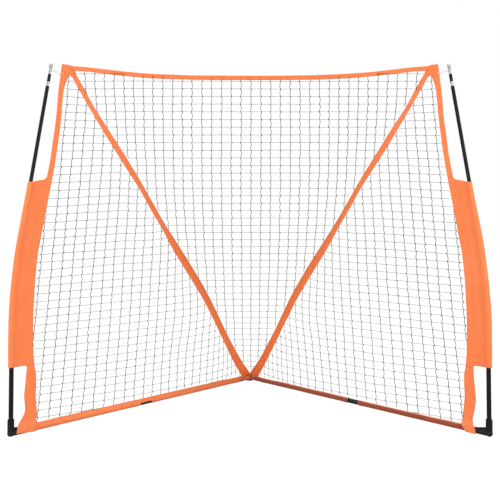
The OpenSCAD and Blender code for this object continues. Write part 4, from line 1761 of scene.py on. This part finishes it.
    def build(self) -> None:
        """Builds the top band, its stitches and the net."""
        finishes, half = self.shop.finishes, self.plane.top.x
        band = self.top_band()
        obj = band.build("top_band_cloth", self.in_plane, True)
        self.shop.cloth(obj, finishes.cloth, (0.023, 1.8), "corner_web_cloth_left", "corner_web_cloth_right")
        self.shop.bend(obj, half, Slot.CLOTH, "top_band")
        thread = self.shop.stitches.sew("stitches_top", band.seams(self.in_plane, (0.14, 0.84), 1), finishes.thread)
        self.shop.bend(thread, half, Slot.CLOTH)
        rows = self.mid_rows()
        last = float(len(rows))
        step = round((last + 2.0) / self.strips)
        start, number = -1.0, 0
        while start < last:
            end = min(start + step, last)
            lines = self.net_lines(start, end)
            if lines:
                mid = rows[min(max(int((start + end) / 2), 0), len(rows) - 1)]
                strip = self.shop.cords.cords(f"back_netting_{number:02d}", lines, finishes.netting)
                self.shop.bend(strip, max(self.plane.half_width(mid), 0.03), Slot.NETTING, "back_net")
                number += 1
            start = end


@dataclass
class ApexCloth:
    """Strip of cloth round the front of the folding hinge, from one base sleeve to the other.

    Attributes:
        shop: The workshop.
        reach: Distance from the middle at which each end begins to lie on its sleeve.
        deep: Distance in front of the hinge's axis there.
        tail: How far each end goes on, across and forwards.
        nose: Distance of the strip's middle in front of the hinge's axis.
    """

    shop: Workshop
    reach: float = 0.0407
    deep: float = 0.0375
    tail: float = 0.016
    nose: float = 0.0168

    def path(self) -> list[Pair]:
        """Line of the strip seen from above: it follows the sleeves and passes the knuckle."""
        end = (self.reach + self.tail, -self.deep - self.tail)
        bend = (self.reach, -self.deep)
        corners = [(-end[0], end[1]), (-bend[0], bend[1]), (0.0, -self.nose), bend, end]
        return spaced(rounded(corners, 0.010), 64)

    def build(self) -> None:
        """Builds the strip and its stitches."""
        path = self.path()
        runs = [0.0]
        for before, after in zip(path, path[1:]):
            runs.append(runs[-1] + math.dist(before, after))
        middle = runs[-1] / 2

        def place(x: float, y: float, z: float) -> Vector:
            """Place of a point of the strip: x along it, y up and z forwards."""
            i = min(max(next((k for k, run in enumerate(runs) if run >= x), len(runs) - 1), 1), len(runs) - 1)
            (xa, ya), (xb, yb) = path[i - 1], path[i]
            t = (x - runs[i - 1]) / (runs[i] - runs[i - 1])
            along = Vector((xb - xa, yb - ya)).normalized()
            return Vector((xa + (xb - xa) * t + along.y * z, ya + (yb - ya) * t - along.x * z, y))

        low = [(run, 0.0085 + 0.0035 * ease(abs(run - middle), 0.02, 0.06)) for run in runs]
        high = [(run, 0.0312 - 0.0030 * ease(abs(run - middle), 0.03, 0.06)) for run in runs]
        band = FoldedBand(low, high, thickness=0.0022, wave=0.0004, seed=41.0)
        obj = band.build("apex_cloth", place, False)
        sleeves = "base_sleeve_cloth_left", "base_sleeve_cloth_right"
        self.shop.cloth(obj, self.shop.finishes.apex_cloth, (0.0213, 0.1348), *sleeves)
        self.shop.bend(obj, 0.03, Slot.CLOTH)
        seams = band.seams(place, (0.14, 0.86), 1)
        thread = self.shop.stitches.sew("stitches_apex", seams, self.shop.finishes.thread)
        self.shop.bend(thread, 0.03, Slot.CLOTH)


def dress_frame(nodes: dict[str, bpy.types.Object], finishes: Wardrobe) -> None:
    """Gives the rigid nodes, which keep their CAD shapes, their finer finishes.

    Args:
        nodes: The CAD nodes by name.
        finishes: The finishes.
    """
    table = {
        finishes.coating: ("base_tube", "pole_lower", "pole_upper"),
        finishes.plastic: ("elbow", "base_coupler", "hinge_arm", "tip_sleeve"),
        finishes.metal: ("hinge_pin", "hinge_washer", "tip_collar", "tip_fork"),
        finishes.elastic: ("corner_loop",),
    }
    for name, obj in nodes.items():
        for material, starts in table.items():
            if name.startswith(starts):
                for slot in obj.material_slots:
                    slot.material = material
                LOG.info("%s keeps its CAD shape in %s", name, material.name)


@dataclass(frozen=True)
class Studio:
    """Camera, floor, world and lamps.

    Attributes:
        eye: Place of the camera.
        nod: How far it looks down.
        lens: Its focal length on a 36 mm sensor.
        reach: Half the side of the floor.
    """

    eye: Triple = (0.0, -3.3084, 0.7947)
    nod: float = math.radians(0.292)
    lens: float = 39.94
    reach: float = 30.0

    def camera(self) -> None:
        """Makes the camera, nearly level and square to the mouth."""
        data = bpy.data.cameras.new("camera")
        data.lens, data.sensor_width = self.lens, 36.0
        camera = linked("camera", data)
        camera.location, camera.rotation_euler = self.eye, (math.pi / 2 - self.nod, 0.0, 0.0)
        bpy.context.scene.camera = camera

    def world(self) -> None:
        """White behind the goal, and an even light for the rest."""
        world = bpy.data.worlds.new("studio")
        bpy.context.scene.world = world
        n = blank(world)
        path = n.add("ShaderNodeLightPath").outputs
        direct = n.math("MAXIMUM", path["Is Camera Ray"], path["Is Glossy Ray"])
        seen = n.math("MAXIMUM", direct, path["Is Transmission Ray"])
        even, white = (
            n.add("ShaderNodeBackground", Color=(1, 1, 1), Strength=strength) for strength in (0.76, 1.0)
        )
        n.put(n.layer(seen, even, white), n.add("ShaderNodeOutputWorld").inputs[0])

    def floor(self) -> None:
        """Pale floor that keeps a faint shadow."""
        corners = [Vector((x * self.reach, y * self.reach, 0)) for x, y in ((-1, -1), (1, -1), (1, 1), (-1, 1))]
        floor = mesh_object("floor", corners, [(0, 1, 2, 3)])
        material = bpy.data.materials.new("pale_floor")
        n = blank(material)
        matt = n.add("ShaderNodeBsdfDiffuse", Color=(0.6, 0.6, 0.6))
        glow = n.add("ShaderNodeEmission", Color=(1, 1, 1), Strength=1.1)
        factor = n.mul(n.add("ShaderNodeLightPath").outputs["Is Camera Ray"], 0.88)
        n.put(n.layer(factor, matt, glow), n.add("ShaderNodeOutputMaterial").inputs[0])
        floor.data.materials.append(material)

    def lamp(self, name: str, place: Triple, power: float, size: float) -> None:
        """Adds a square lamp that looks at the goal's middle.

        Args:
            name: Its name.
            place: Where it stands.
            power: Its power in watts.
            size: Length of its side.
        """
        data = bpy.data.lights.new(name, "AREA")
        data.energy, data.size = power, size
        aim = (Vector((0.0, -0.4, 0.7)) - Vector(place)).to_track_quat("-Z", "Y")
        linked(name, data).matrix_world = Matrix.Translation(place) @ aim.to_matrix().to_4x4()

    def build(self) -> None:
        """Sets the whole studio up."""
        self.camera()
        self.world()
        self.floor()
        self.lamp("key", (3.2, -3.6, 3.4), 105.0, 2.2)
        self.lamp("fill", (-3.4, -3.4, 2.6), 85.0, 2.6)
        self.lamp("rim", (0.6, 3.6, 3.4), 60.0, 2.4)
        bpy.context.scene.view_settings.view_transform = "Standard"


def main() -> None:
    """Builds the goal round its CAD frame."""
    logging.basicConfig(level=logging.INFO, format="%(name)s: %(message)s")
    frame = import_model()
    Studio().build()
    finishes = Wardrobe()
    shop = Workshop(finishes, CordTree(), StitchTree())
    dress_frame(frame["nodes"], finishes)
    for side in Side:
        SideWall(side, shop).build()
    Back(shop).build()
    ApexCloth(shop).build()


if __name__ == "__main__":
    main()
